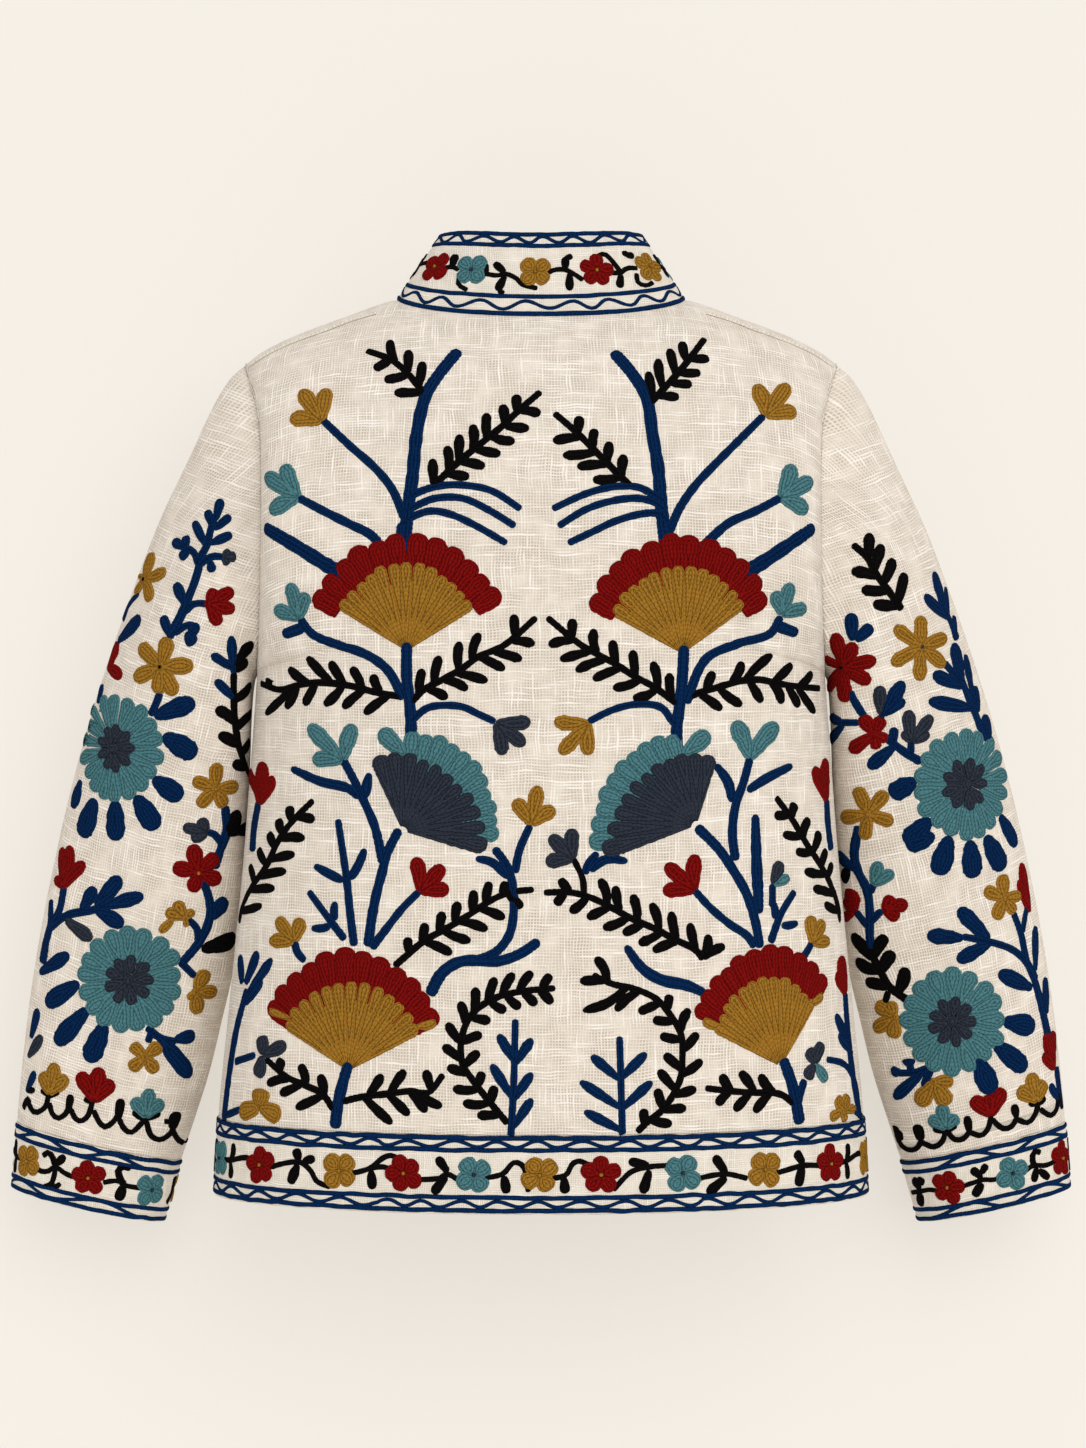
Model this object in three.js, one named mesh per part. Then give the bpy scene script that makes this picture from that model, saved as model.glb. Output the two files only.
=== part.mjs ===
// A hip-length linen jacket with a stand collar, set-in sleeves and doubled bands at the hem and cuffs,
// hollow and filled out as it hangs on shoulders. Millimetres, +Z up, +Y is the wearer's forward, +X is
// the wearer's right. The origin lies midway between the two points where the shoulder seams meet the neck.
import * as THREE from "three";

// Driving sizes of the garment.
const CLOTH = 1.6; // wall of the single linen
const DOUBLED_PROUD = 0.5; // how far a doubled band stands out of the single cloth
const SEAM_GAP = 0.32; // two pieces part by this much along a seam
const FRONT_OPENING = 3; // gap between the two front edges
const HEM_Z = -624;
const HEM_DIP = 3; // the centre back hangs this much lower than the side seams
const HEM_BAND = 53;
const PANEL_BOTTOM_Z = HEM_Z + HEM_BAND;
const UNDERARM_Z = -262;
const SHOULDER = { x: 207, z: -46 }; // the outer end of the shoulder seam
const NECK_HALF_WIDTH = 100;
const NECK_DROP = { back: 17, front: 78 }; // the neckline's lowest point below the shoulder seam's neck end
const ARMHOLE_DEPTH = { back: 57, front: 55 };
const ARMHOLE_SCOOP = { back: 0, front: 11 }; // how far the armhole bites into the panel

// Half width of the body at the side seam, and above the underarm at the back armhole seam.
const BODY_WIDTH = [
  { z: -630, half: 228.5 },
  { z: -568, half: 225.3 },
  { z: -504, half: 219 },
  { z: -449, half: 213.5 },
  { z: -392, half: 208 },
  { z: -330, half: 203.2 },
  { z: -270, half: 198.5 },
  { z: -236, half: 195 },
  { z: -194, half: 192.8 },
  { z: -126, half: 192.2 },
  { z: -80, half: 195.5 },
  { z: -46, half: 207 },
];

// How far the centre back and the centre front stand from the side seams' plane.
const BODY_DEPTH = [
  { z: -630, back: 119, front: 111 },
  { z: -500, back: 118, front: 113 },
  { z: -380, back: 116, front: 116 },
  { z: -250, back: 114, front: 119 },
  { z: -170, back: 111, front: 114 },
  { z: -110, back: 106, front: 95 },
  { z: -60, back: 104, front: 80 },
  { z: 20, back: 103, front: 76 },
];
const SECTION_POWER = 2.3; // squareness of the body's horizontal sections
const ARMHOLE_SPREAD = 4; // how soon the armhole's depth fades towards the centre of a panel
const SHOULDER_ROUND = { back: 150, front: 130 }; // height over which the cloth rounds over the shoulder

// The top outline of the shoulder, from the middle of the neck outwards.
const SHOULDER_LINE = [
  { x: 0, z: 12 },
  { x: 50, z: 7.5 },
  { x: 100, z: 0 },
  { x: 140, z: -13.5 },
  { x: 173, z: -26 },
  { x: 195, z: -37 },
  { x: 207, z: -46 },
];

// The right sleeve's sections, from the armhole to the cuff seam and the cuff's edge. Each section spans
// from its outer point to its inner point; middle_y is how far forward its centre hangs.
const SLEEVE = [
  { outer_x: 207, outer_z: -46, inner_x: 196, inner_z: -262, middle_y: 0, half_depth: 57 },
  { outer_x: 217, outer_z: -55, inner_x: 199.4, inner_z: -267, middle_y: 0.5, half_depth: 56.5 },
  { outer_x: 227.4, outer_z: -71, inner_x: 201.2, inner_z: -276, middle_y: 2, half_depth: 56 },
  { outer_x: 241.5, outer_z: -99, inner_x: 202.4, inner_z: -289, middle_y: 4.5, half_depth: 55.5 },
  { outer_x: 256, outer_z: -128, inner_x: 203.4, inner_z: -303, middle_y: 8, half_depth: 55 },
  { outer_x: 269, outer_z: -157, inner_x: 204.2, inner_z: -318, middle_y: 12, half_depth: 54.5 },
  { outer_x: 281.5, outer_z: -188, inner_x: 205.1, inner_z: -336, middle_y: 16.5, half_depth: 54 },
  { outer_x: 294, outer_z: -221, inner_x: 206.3, inner_z: -357.3, middle_y: 21.5, half_depth: 53.5 },
  { outer_x: 306.5, outer_z: -256, inner_x: 207.7, inner_z: -380.5, middle_y: 26.5, half_depth: 52.5 },
  { outer_x: 318.5, outer_z: -292.4, inner_x: 209.6, inner_z: -405.8, middle_y: 32, half_depth: 51.5 },
  { outer_x: 329.5, outer_z: -330, inner_x: 212.3, inner_z: -432.2, middle_y: 37, half_depth: 50.5 },
  { outer_x: 339.5, outer_z: -368.5, inner_x: 216.2, inner_z: -459.6, middle_y: 42, half_depth: 49 },
  { outer_x: 348.5, outer_z: -408, inner_x: 221.5, inner_z: -488.2, middle_y: 47, half_depth: 47.5 },
  { outer_x: 356.7, outer_z: -448.6, inner_x: 228.7, inner_z: -518, middle_y: 51.5, half_depth: 46 },
  { outer_x: 363.8, outer_z: -490.2, inner_x: 237.4, inner_z: -548.7, middle_y: 55.5, half_depth: 44.5 },
  { outer_x: 369.6, outer_z: -535.5, inner_x: 247.3, inner_z: -578.8, middle_y: 59, half_depth: 43 },
  { outer_x: 374.2, outer_z: -580.5, inner_x: 257, inner_z: -607.8, middle_y: 62, half_depth: 42 },
];

// Soft troughs in the right sleeve, as its cloth takes up ease: where each lies, by section and by turn in
// degrees from the inner end over the back, how far it spreads and how deep it dips.
const SLEEVE_TROUGHS = [
  { section: 2, sections: 1.6, turn: 80, turns: 42, depth: 7 },
  { section: 2.3, sections: 1.5, turn: 285, turns: 38, depth: 6 },
  { section: 8.4, sections: 0.9, turn: 318, turns: 46, depth: 3 },
  { section: 10.3, sections: 0.8, turn: 300, turns: 52, depth: 2.6 },
  { section: 12.6, sections: 0.9, turn: 40, turns: 50, depth: 2.2 },
];
const CUFF_EDGE = { outer_x: 378, outer_z: -627.5, inner_x: 269.8, inner_z: -652, middle_y: 66, half_depth: 41 };

// The collar's top edge, by the angle round the neck from the centre back.
const COLLAR_TOP = [
  { angle: 0, z: 42 },
  { angle: 60, z: 45 },
  { angle: 90, z: 45 },
  { angle: 120, z: 32 },
  { angle: 150, z: 1 },
  { angle: 180, z: -26 },
];
const COLLAR_TOP_HALF = { x: 70, back: 45, front: 62 };

// How finely each piece is divided.
const SIDE_ROWS = 11;
const ARMHOLE_ROWS = 12;
const NECK_COLUMNS = { back: 6, front: 7 };
const SHOULDER_COLUMNS = 9;
const BAND_ROWS = 2;
const COLLAR_ROWS = 4;

const mix = (a, b, t) => a + (b - a) * t;

// A smooth curve through a table's rows: the value of one column at a place along another.
function along(table, key, column, at) {
  const rising = table[table.length - 1][key] > table[0][key];
  const rows = rising ? table : [...table].reverse();
  const inside = Math.min(Math.max(at, rows[0][key]), rows[rows.length - 1][key]);
  let i = 0;
  while (i < rows.length - 2 && inside > rows[i + 1][key]) i++;
  const slope = (j) => {
    const a = rows[Math.max(j - 1, 0)];
    const b = rows[Math.min(j + 1, rows.length - 1)];
    return (b[column] - a[column]) / (b[key] - a[key]);
  };
  const span = rows[i + 1][key] - rows[i][key];
  const t = (inside - rows[i][key]) / span;
  const [t2, t3] = [t * t, t * t * t];
  return (
    (2 * t3 - 3 * t2 + 1) * rows[i][column] +
    (t3 - 2 * t2 + t) * span * slope(i) +
    (3 * t2 - 2 * t3) * rows[i + 1][column] +
    (t3 - t2) * span * slope(i + 1)
  );
}

// Rows of a body panel, from its bottom edge to the shoulder: the height and depth of its side edge.
function sideRows() {
  const rows = [];
  for (let i = 0; i <= SIDE_ROWS; i++)
    rows.push({ z: mix(PANEL_BOTTOM_Z, UNDERARM_Z, i / SIDE_ROWS), turn: 0 });
  const middle = (UNDERARM_Z + SHOULDER.z) / 2;
  const half = (SHOULDER.z - UNDERARM_Z) / 2;
  for (let i = 1; i <= ARMHOLE_ROWS; i++) {
    const turn = (Math.PI * i) / ARMHOLE_ROWS;
    rows.push({ z: middle - half * Math.cos(turn), turn });
  }
  return rows;
}

// Columns of a body panel, from the centre (0) to the side edge (1), closer where the section turns.
function columns(side) {
  const neck = NECK_HALF_WIDTH / SHOULDER.x;
  const inner = side === "front" ? FRONT_OPENING / 2 / SHOULDER.x : 0;
  const found = [];
  const count = NECK_COLUMNS[side];
  const start = Math.asin(inner / neck);
  for (let i = 0; i < count; i++) {
    const angle = mix(start, Math.PI / 2, i / count);
    found.push({ u: neck * Math.sin(angle), neck_angle: angle });
  }
  const first = Math.asin(neck ** (SECTION_POWER / 2));
  for (let i = 0; i <= SHOULDER_COLUMNS; i++) {
    const angle = mix(first, Math.PI / 2, i / SHOULDER_COLUMNS);
    found.push({ u: Math.sin(angle) ** (2 / SECTION_POWER), neck_angle: Math.PI / 2 });
  }
  return found;
}

// How far the cloth stands from the side seams' plane, for a column u on a row whose side edge has this depth.
function depthAt(side, u, x, z, edge) {
  const below = along(SHOULDER_LINE, "x", "z", Math.abs(x)) - z;
  const left = 1 - Math.min(Math.max(below, 0) / SHOULDER_ROUND[side], 1);
  const full = along(BODY_DEPTH, "z", side, z) * Math.sqrt(1 - left * left);
  return full * (1 - u ** SECTION_POWER) ** (1 / SECTION_POWER) + edge * u ** ARMHOLE_SPREAD;
}

// One half of a body panel as rows of points on the wearer's right, from the centre to the side.
function halfPanel(side) {
  const away = side === "back" ? -1 : 1;
  const shoulderRise = SHOULDER.z - PANEL_BOTTOM_Z;
  return sideRows().map(({ z: sideZ, turn }) => {
    const share = (sideZ - PANEL_BOTTOM_Z) / shoulderRise;
    const edge = ARMHOLE_DEPTH[side] * Math.sin(turn);
    const half = along(BODY_WIDTH, "z", "half", sideZ) - ARMHOLE_SCOOP[side] * Math.sin(turn) ** 2;
    return columns(side).map(({ u, neck_angle }) => {
      const top =
        neck_angle < Math.PI / 2
          ? -NECK_DROP[side] * Math.cos(neck_angle)
          : along(SHOULDER_LINE, "x", "z", u * SHOULDER.x);
      const z = mix(PANEL_BOTTOM_Z - hemDip(side, u), top, share);
      const inner = side === "front" ? FRONT_OPENING / 2 : 0;
      const x = Math.max(u * half, inner);
      return new THREE.Vector3(x, away * depthAt(side, u, x, z, edge), z);
    });
  });
}

function hemDip(side, u) {
  return side === "back" ? HEM_DIP * (1 - u * u) : 0;
}

const mirrored = (p) => new THREE.Vector3(-p.x, p.y, p.z);

// The hem band's points: each bottom point of the body goes down by the band, out to the section there.
function hemRows(bottom) {
  const rows = [];
  for (let i = 0; i <= BAND_ROWS; i++) {
    const t = i / BAND_ROWS;
    rows.push(
      bottom.map((p) => {
        const spread = mix(1, along(BODY_WIDTH, "z", "half", HEM_Z) / along(BODY_WIDTH, "z", "half", PANEL_BOTTOM_Z), t);
        const x = Math.abs(p.x) <= FRONT_OPENING ? p.x : p.x * spread;
        return new THREE.Vector3(x, p.y, p.z - HEM_BAND * t);
      }),
    );
  }
  return rows;
}

// A sleeve section's centre and its two half axes.
function section(row) {
  const outer = new THREE.Vector3(row.outer_x, row.middle_y, row.outer_z);
  const inner = new THREE.Vector3(row.inner_x, row.middle_y, row.inner_z);
  return {
    middle: outer.clone().add(inner).multiplyScalar(0.5),
    across: outer.clone().sub(inner).multiplyScalar(0.5),
    half_depth: row.half_depth,
  };
}

// A point on a section, by the turn from its inner end: a quarter turn is the back, half is the outer end.
function onSection({ middle, across, half_depth }, turn) {
  return middle
    .clone()
    .addScaledVector(across, -Math.cos(turn))
    .add(new THREE.Vector3(0, -half_depth * Math.sin(turn), 0));
}

// The right sleeve's rings. The first is the armhole itself, and its shape fades into the round sections.
const CAP_RINGS = 6;
const armholeFade = (ring) => Math.max(0, 1 - ring / CAP_RINGS) ** 2;

function sleeveRings(armhole) {
  const first = section(SLEEVE[0]);
  return SLEEVE.map((row, ring) => {
    const here = section(row);
    return armhole.map(({ p, turn }) => {
      const off = p.clone().sub(onSection(first, turn));
      const q = onSection(here, turn).addScaledVector(off, armholeFade(ring));
      const inward = here.middle.clone().sub(q).normalize();
      return q.addScaledVector(inward, troughAt(ring, turn));
    });
  });
}

// How far the troughs dip at a place on the sleeve. The seams at either end stay true.
function troughAt(ring, turn) {
  const free = Math.min(ring, 1) * Math.min(SLEEVE.length - 1 - ring, 1);
  return SLEEVE_TROUGHS.reduce((sum, trough) => {
    const a = (ring - trough.section) / trough.sections;
    const away = Math.abs((turn * 180) / Math.PI - trough.turn);
    const b = Math.min(away, 360 - away) / trough.turns;
    return sum + free * trough.depth * Math.exp(-a * a - b * b);
  }, 0);
}

function cuffRings(last, turns) {
  const seam = section(SLEEVE[SLEEVE.length - 1]);
  const edge = section(CUFF_EDGE);
  const rows = [];
  for (let i = 0; i <= BAND_ROWS; i++) {
    const t = i / BAND_ROWS;
    const here = {
      middle: seam.middle.clone().lerp(edge.middle, t),
      across: seam.across.clone().lerp(edge.across, t),
      half_depth: mix(seam.half_depth, edge.half_depth, t),
    };
    rows.push(turns.map((turn, k) => (i === 0 ? last[k].clone() : onSection(here, turn))));
  }
  return rows;
}

// The collar's rows, from the neckline up. angle is 0 at the centre back and half a turn at the centre front.
function collarRows(base) {
  const top = base.map(({ p, angle }) => {
    const c = Math.cos(angle);
    const half = c > 0 ? COLLAR_TOP_HALF.back : COLLAR_TOP_HALF.front;
    const x = Math.max(COLLAR_TOP_HALF.x * Math.sin(angle), Math.min(Math.abs(p.x), FRONT_OPENING / 2));
    const z = along(COLLAR_TOP, "angle", "z", (angle * 180) / Math.PI);
    return new THREE.Vector3(Math.sign(p.x) * x, -half * c, z);
  });
  const rows = [];
  for (let i = 0; i <= COLLAR_ROWS; i++)
    rows.push(base.map(({ p }, k) => p.clone().lerp(top[k], i / COLLAR_ROWS)));
  return rows;
}

// Every piece's middle surface as a grid of points, rows by columns, before it gets its wall.
function grids() {
  const back = halfPanel("back");
  const front = halfPanel("front");
  const wholeBack = back.map((row) => [...row.slice(1).reverse().map(mirrored), ...row]);
  // Round the hem from the left front edge over the back to the right front edge.
  const bottom = [
    ...front[0].map(mirrored),
    ...wholeBack[0].slice(1),
    ...front[0].slice(0, -1).reverse(),
  ];
  const rows = sideRows();
  const armholeBack = rows.slice(SIDE_ROWS).map(({ turn }, i) => ({ p: back[SIDE_ROWS + i].at(-1), turn }));
  const armholeFront = rows
    .slice(SIDE_ROWS + 1, -1)
    .map(({ turn }, i) => ({ p: front[SIDE_ROWS + 1 + i].at(-1), turn: 2 * Math.PI - turn }))
    .reverse();
  const armhole = [...armholeBack, ...armholeFront];
  const sleeve = sleeveRings(armhole);
  const cuff = cuffRings(sleeve.at(-1), armhole.map(({ turn }) => turn));
  const necks = { back: columns("back"), front: columns("front") };
  const neckline = (side, panel) =>
    necks[side].slice(0, NECK_COLUMNS[side] + 1).map(({ neck_angle }, i) => ({
      p: panel.at(-1)[i],
      angle: side === "back" ? neck_angle : Math.PI - neck_angle,
    }));
  const rightNeck = [...neckline("back", back), ...neckline("front", front).slice(0, -1).reverse()];
  const leftNeck = rightNeck.slice(1).map(({ p, angle }) => ({ p: mirrored(p), angle })).reverse();
  const flip = (grid) => grid.map((row) => row.map(mirrored).reverse());
  return {
    back: { grid: wholeBack },
    front_right: { grid: front.map((row) => [...row].reverse()) },
    front_left: { grid: front.map((row) => row.map(mirrored)) },
    sleeve_right: { grid: sleeve, tube: true, inward: true },
    sleeve_left: { grid: flip(sleeve), tube: true, inward: true },
    cuff_right: { grid: cuff, tube: true, proud: DOUBLED_PROUD, inward: true },
    cuff_left: { grid: flip(cuff), tube: true, proud: DOUBLED_PROUD, inward: true },
    hem_band: { grid: hemRows(bottom), proud: DOUBLED_PROUD, inward: true },
    collar: { grid: collarRows([...leftNeck, ...rightNeck]), proud: DOUBLED_PROUD },
  };
}

// A grid's normal at each point, from the faces round it.
function normals({ grid, tube, inward }) {
  const count = grid[0].length;
  const found = grid.map((row) => row.map(() => new THREE.Vector3()));
  const last = tube ? count : count - 1;
  for (let r = 0; r < grid.length - 1; r++)
    for (let c = 0; c < last; c++) {
      const d = (c + 1) % count;
      const one = grid[r + 1][d].clone().sub(grid[r][c]);
      const two = grid[r + 1][c].clone().sub(grid[r][d]);
      const face = one.cross(two).multiplyScalar(inward ? -1 : 1);
      for (const [i, j] of [[r, c], [r, d], [r + 1, c], [r + 1, d]]) found[i][j].add(face);
    }
  return found.map((row) => row.map((n) => n.normalize()));
}

// Where pieces meet they share one normal, so that their walls end face to face.
function shareNormals(pieces) {
  const shared = new Map();
  const key = (p) => [p.x, p.y, p.z].map((v) => Math.round(v * 100)).join(",");
  for (const { grid, normal } of pieces)
    grid.forEach((row, r) =>
      row.forEach((p, c) => {
        if (!shared.has(key(p))) shared.set(key(p), new THREE.Vector3());
        shared.get(key(p)).add(normal[r][c]);
      }),
    );
  for (const { grid, normal } of pieces)
    grid.forEach((row, r) => row.forEach((p, c) => normal[r][c].copy(shared.get(key(p))).normalize()));
}

// A piece's edges as closed loops of places in its grid, with the piece on their left seen from outside.
function edgeLoops({ grid, tube }) {
  const [lastRow, lastColumn] = [grid.length - 1, grid[0].length - 1];
  const rowUp = grid[0].map((_, c) => [0, c]);
  const rowBack = grid[0].map((_, c) => [lastRow, lastColumn - c]);
  if (tube) return [rowUp, rowBack];
  const up = grid.slice(1, -1).map((_, i) => [i + 1, lastColumn]);
  const down = up.map(([r]) => [r, 0]).reverse();
  return [[...rowUp, ...up, ...rowBack, ...down]];
}

// Draws a piece's edges in by half a seam gap, square to its shared normals, with mitred corners.
function openSeams({ grid, normal, tube, inward }) {
  const moved = grid.map((row) => row.map((p) => p.clone()));
  for (const loop of edgeLoops({ grid, tube }))
    loop.forEach(([r, c], i) => {
      const [before, after] = [loop.at(i - 1), loop[(i + 1) % loop.length]];
      const inside = ([r1, c1], [r2, c2]) =>
        normal[r][c]
          .clone()
          .cross(grid[r2][c2].clone().sub(grid[r1][c1]))
          .multiplyScalar(inward ? -1 : 1)
          .normalize();
      const one = inside(before, [r, c]);
      const two = inside([r, c], after);
      moved[r][c].addScaledVector(one.clone().add(two), SEAM_GAP / 2 / (1 + one.dot(two)));
    });
  return moved;
}

// Orders points so that two pieces split the faces along their common seam the same way.
const rank = (p) => p.z + 0.01 * p.y + 0.0001 * Math.abs(p.x);

// The closed wall of a grid: outer points, inner points and the rims between them.
function wall({ grid, normal, tube, inward, proud = 0 }, points) {
  const [rows, count] = [grid.length, grid[0].length];
  const position = [];
  for (const out of [proud, -CLOTH])
    points.forEach((row, r) =>
      row.forEach((p, c) => position.push(...p.clone().addScaledVector(normal[r][c], out).toArray())),
    );
  const outer = ([r, c]) => r * count + (c % count);
  const inner = (place) => rows * count + outer(place);
  const index = [];
  const quad = (a, b, c, d) => {
    if (inward) index.push(a, c, b, a, d, c);
    else index.push(a, b, c, a, c, d);
  };
  for (let r = 0; r < rows - 1; r++)
    for (let c = 0; c < (tube ? count : count - 1); c++) {
      const places = [[r, c], [r, c + 1], [r + 1, c + 1], [r + 1, c]];
      // The wearer's left is split as the mirror of the right.
      if (grid[r][c].x + grid[r][(c + 1) % count].x < 0) places.push(places.shift());
      quad(...places.map(outer));
      quad(...places.map(inner).reverse());
    }
  for (const loop of edgeLoops({ grid, tube }))
    loop.forEach((here, i) => {
      const next = loop[(i + 1) % loop.length];
      const first = rank(grid[here[0]][here[1]]) > rank(grid[next[0]][next[1]]);
      if (first) quad(outer(here), inner(here), inner(next), outer(next));
      else quad(inner(here), inner(next), outer(next), outer(here));
    });
  return new THREE.BufferGeometry()
    .setAttribute("position", new THREE.BufferAttribute(new Float32Array(position), 3))
    .setIndex(index);
}

const LINEN = { color: 0xe9e1d3, roughness: 0.92, metalness: 0 };
const BAND = { color: 0xf1ebe0, roughness: 0.9, metalness: 0 };

const jacket = new THREE.Group();
const pieces = Object.entries(grids()).map(([name, piece]) => ({ name, ...piece }));
for (const piece of pieces) piece.normal = normals(piece);
shareNormals(pieces);
for (const piece of pieces) {
  const finish = piece.proud ? BAND : LINEN;
  const mesh = new THREE.Mesh(wall(piece, openSeams(piece)), new THREE.MeshStandardMaterial(finish));
  mesh.name = piece.name;
  jacket.add(mesh);
}

export default jacket;
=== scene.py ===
# %% [markdown]
# # An embroidered linen jacket
# The jacket is cut from open, slubby linen and hangs hollow, as if on a pair of shoulders. Thick wool is
# sewn over it in flowers, fans and ferns. The frame comes first: it says where every piece of cloth lies.

# %% Load the frame
import math

import bmesh
import bpy
import numpy as np
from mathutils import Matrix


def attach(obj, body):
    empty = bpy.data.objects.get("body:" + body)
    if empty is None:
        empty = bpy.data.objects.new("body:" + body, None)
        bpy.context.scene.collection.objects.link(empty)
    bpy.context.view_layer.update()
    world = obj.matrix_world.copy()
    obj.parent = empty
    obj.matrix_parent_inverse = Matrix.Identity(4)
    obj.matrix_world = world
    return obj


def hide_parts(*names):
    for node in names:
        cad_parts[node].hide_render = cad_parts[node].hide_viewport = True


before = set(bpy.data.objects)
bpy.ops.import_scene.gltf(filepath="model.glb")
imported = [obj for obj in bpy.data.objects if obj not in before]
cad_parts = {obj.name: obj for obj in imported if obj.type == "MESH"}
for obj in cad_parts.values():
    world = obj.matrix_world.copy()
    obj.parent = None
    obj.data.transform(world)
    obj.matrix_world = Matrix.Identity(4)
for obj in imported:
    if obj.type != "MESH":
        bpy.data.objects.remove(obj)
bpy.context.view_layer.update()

# %% [markdown]
# The camera stands level, three metres behind the back, at the height of the middle of the jacket. It is
# made first because the embroidery is placed by what it sees: a place on the cloth is named by where it
# shows on the upright plane through the shoulders, in millimetres from the neck.

# %% Camera
MM = 0.001
PICTURE_HEIGHT = 1448
MM_PER_PIXEL = 0.7
CAMERA = (1.4, -3000.0, -297.0)
SENSOR = 36.0

camera_data = bpy.data.cameras.new("camera")
camera_data.sensor_fit = "AUTO"
camera_data.sensor_width = SENSOR
camera_data.lens = SENSOR * -CAMERA[1] / (PICTURE_HEIGHT * MM_PER_PIXEL)
camera = bpy.data.objects.new("camera", camera_data)
camera.location = [v * MM for v in CAMERA]
camera.rotation_euler = (math.radians(90), 0, 0)
bpy.context.scene.collection.objects.link(camera)
bpy.context.scene.camera = camera
print("lens", round(camera_data.lens, 1), "mm")

# %% [markdown]
# The cut of the jacket. Each table has the same sizes as the frame, in millimetres: half widths and depths
# of the body by height, the shoulder line, and the sections of a sleeve. A smooth curve runs through
# the rows.

# %% Sizes of the cut
PANEL_BOTTOM, UNDERARM, HEM = -571.0, -262.0, -624.0
HEM_BAND, HEM_DIP = 53.0, 3.0
SHOULDER_X, SHOULDER_Z = 207.0, -46.0
NECK_HALF = 100.0
NECK_DROP = {"back": 17.0, "front": 78.0}
ARMHOLE_DEPTH = {"back": 57.0, "front": 55.0}
ARMHOLE_SCOOP = {"back": 0.0, "front": 11.0}
SHOULDER_ROUND = {"back": 150.0, "front": 130.0}
FRONT_EDGE = 1.5
SQUARENESS, ARMHOLE_SPREAD = 2.3, 4.0
CLOTH, PROUD = 1.6, 0.5

BODY_WIDTH = np.array([  # height, half width
    (-630, 228.5), (-568, 225.3), (-504, 219), (-449, 213.5), (-392, 208), (-330, 203.2),
    (-270, 198.5), (-236, 195), (-194, 192.8), (-126, 192.2), (-80, 195.5), (-46, 207),
])
BODY_DEPTH = np.array([  # height, depth of the back, depth of the front
    (-630, 119, 111), (-500, 118, 113), (-380, 116, 116), (-250, 114, 119),
    (-170, 111, 114), (-110, 106, 95), (-60, 104, 80), (20, 103, 76),
])
SHOULDER_LINE = np.array([  # distance from the middle, height
    (0, 12), (50, 7.5), (100, 0), (140, -13.5), (173, -26), (195, -37), (207, -46),
])
SLEEVE = np.array([  # section, outer x, outer z, inner x, inner z, middle y, half depth
    (0, 207, -46, 196, -262, 0, 57), (1, 217, -55, 199.4, -267, 0.5, 56.5),
    (2, 227.4, -71, 201.2, -276, 2, 56), (3, 241.5, -99, 202.4, -289, 4.5, 55.5),
    (4, 256, -128, 203.4, -303, 8, 55), (5, 269, -157, 204.2, -318, 12, 54.5),
    (6, 281.5, -188, 205.1, -336, 16.5, 54), (7, 294, -221, 206.3, -357.3, 21.5, 53.5),
    (8, 306.5, -256, 207.7, -380.5, 26.5, 52.5), (9, 318.5, -292.4, 209.6, -405.8, 32, 51.5),
    (10, 329.5, -330, 212.3, -432.2, 37, 50.5), (11, 339.5, -368.5, 216.2, -459.6, 42, 49),
    (12, 348.5, -408, 221.5, -488.2, 47, 47.5), (13, 356.7, -448.6, 228.7, -518, 51.5, 46),
    (14, 363.8, -490.2, 237.4, -548.7, 55.5, 44.5), (15, 369.6, -535.5, 247.3, -578.8, 59, 43),
    (16, 374.2, -580.5, 257, -607.8, 62, 42),
])
SLEEVE_END = 16
CAP_RINGS = 6
CUFF_EDGE = np.array([378, -627.5, 269.8, -652, 66, 41])  # the same columns as a sleeve section
SLEEVE_TROUGHS = [  # section, its spread, turn in degrees, its spread, depth
    (2, 1.6, 80, 42, 7), (2.3, 1.5, 285, 38, 6), (8.4, 0.9, 318, 46, 3),
    (10.3, 0.8, 300, 52, 2.6), (12.6, 0.9, 40, 50, 2.2),
]
COLLAR_TOP = np.array([(0, 42), (60, 45), (90, 45), (120, 32), (150, 1), (180, -26)])  # degrees, height
COLLAR_TOP_X, COLLAR_TOP_Y = 70.0, {"back": 45.0, "front": 62.0}


def along(table, at, column=1):
    """The smooth curve through a table's rows: one column's value at a place along the first."""
    table = table[np.argsort(table[:, 0])]
    x, y = table[:, 0], table[:, column]
    slope = np.empty_like(y)
    slope[1:-1] = (y[2:] - y[:-2]) / (x[2:] - x[:-2])
    slope[0], slope[-1] = (y[1] - y[0]) / (x[1] - x[0]), (y[-1] - y[-2]) / (x[-1] - x[-2])
    at = np.clip(at, x[0], x[-1])
    i = np.clip(np.searchsorted(x, at, side="right") - 1, 0, len(x) - 2)
    span = x[i + 1] - x[i]
    t = (at - x[i]) / span
    return (
        (2 * t**3 - 3 * t**2 + 1) * y[i]
        + (t**3 - 2 * t**2 + t) * span * slope[i]
        + (3 * t**2 - 2 * t**3) * y[i + 1]
        + (t**3 - t**2) * span * slope[i + 1]
    )


print("half width at the hem", round(float(along(BODY_WIDTH, HEM)), 1), "mm")

# %% [markdown]
# The body panels. The back is one panel and each front is half of one, cut to the shoulder seam, the
# neckline and the armhole. A point on a panel is found by two counts, its row and its column. Formulas are
# used, rather than the frame's own faceted walls, because the sewn patterns need a smooth surface under
# them, to the tenth of a millimetre.

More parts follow.
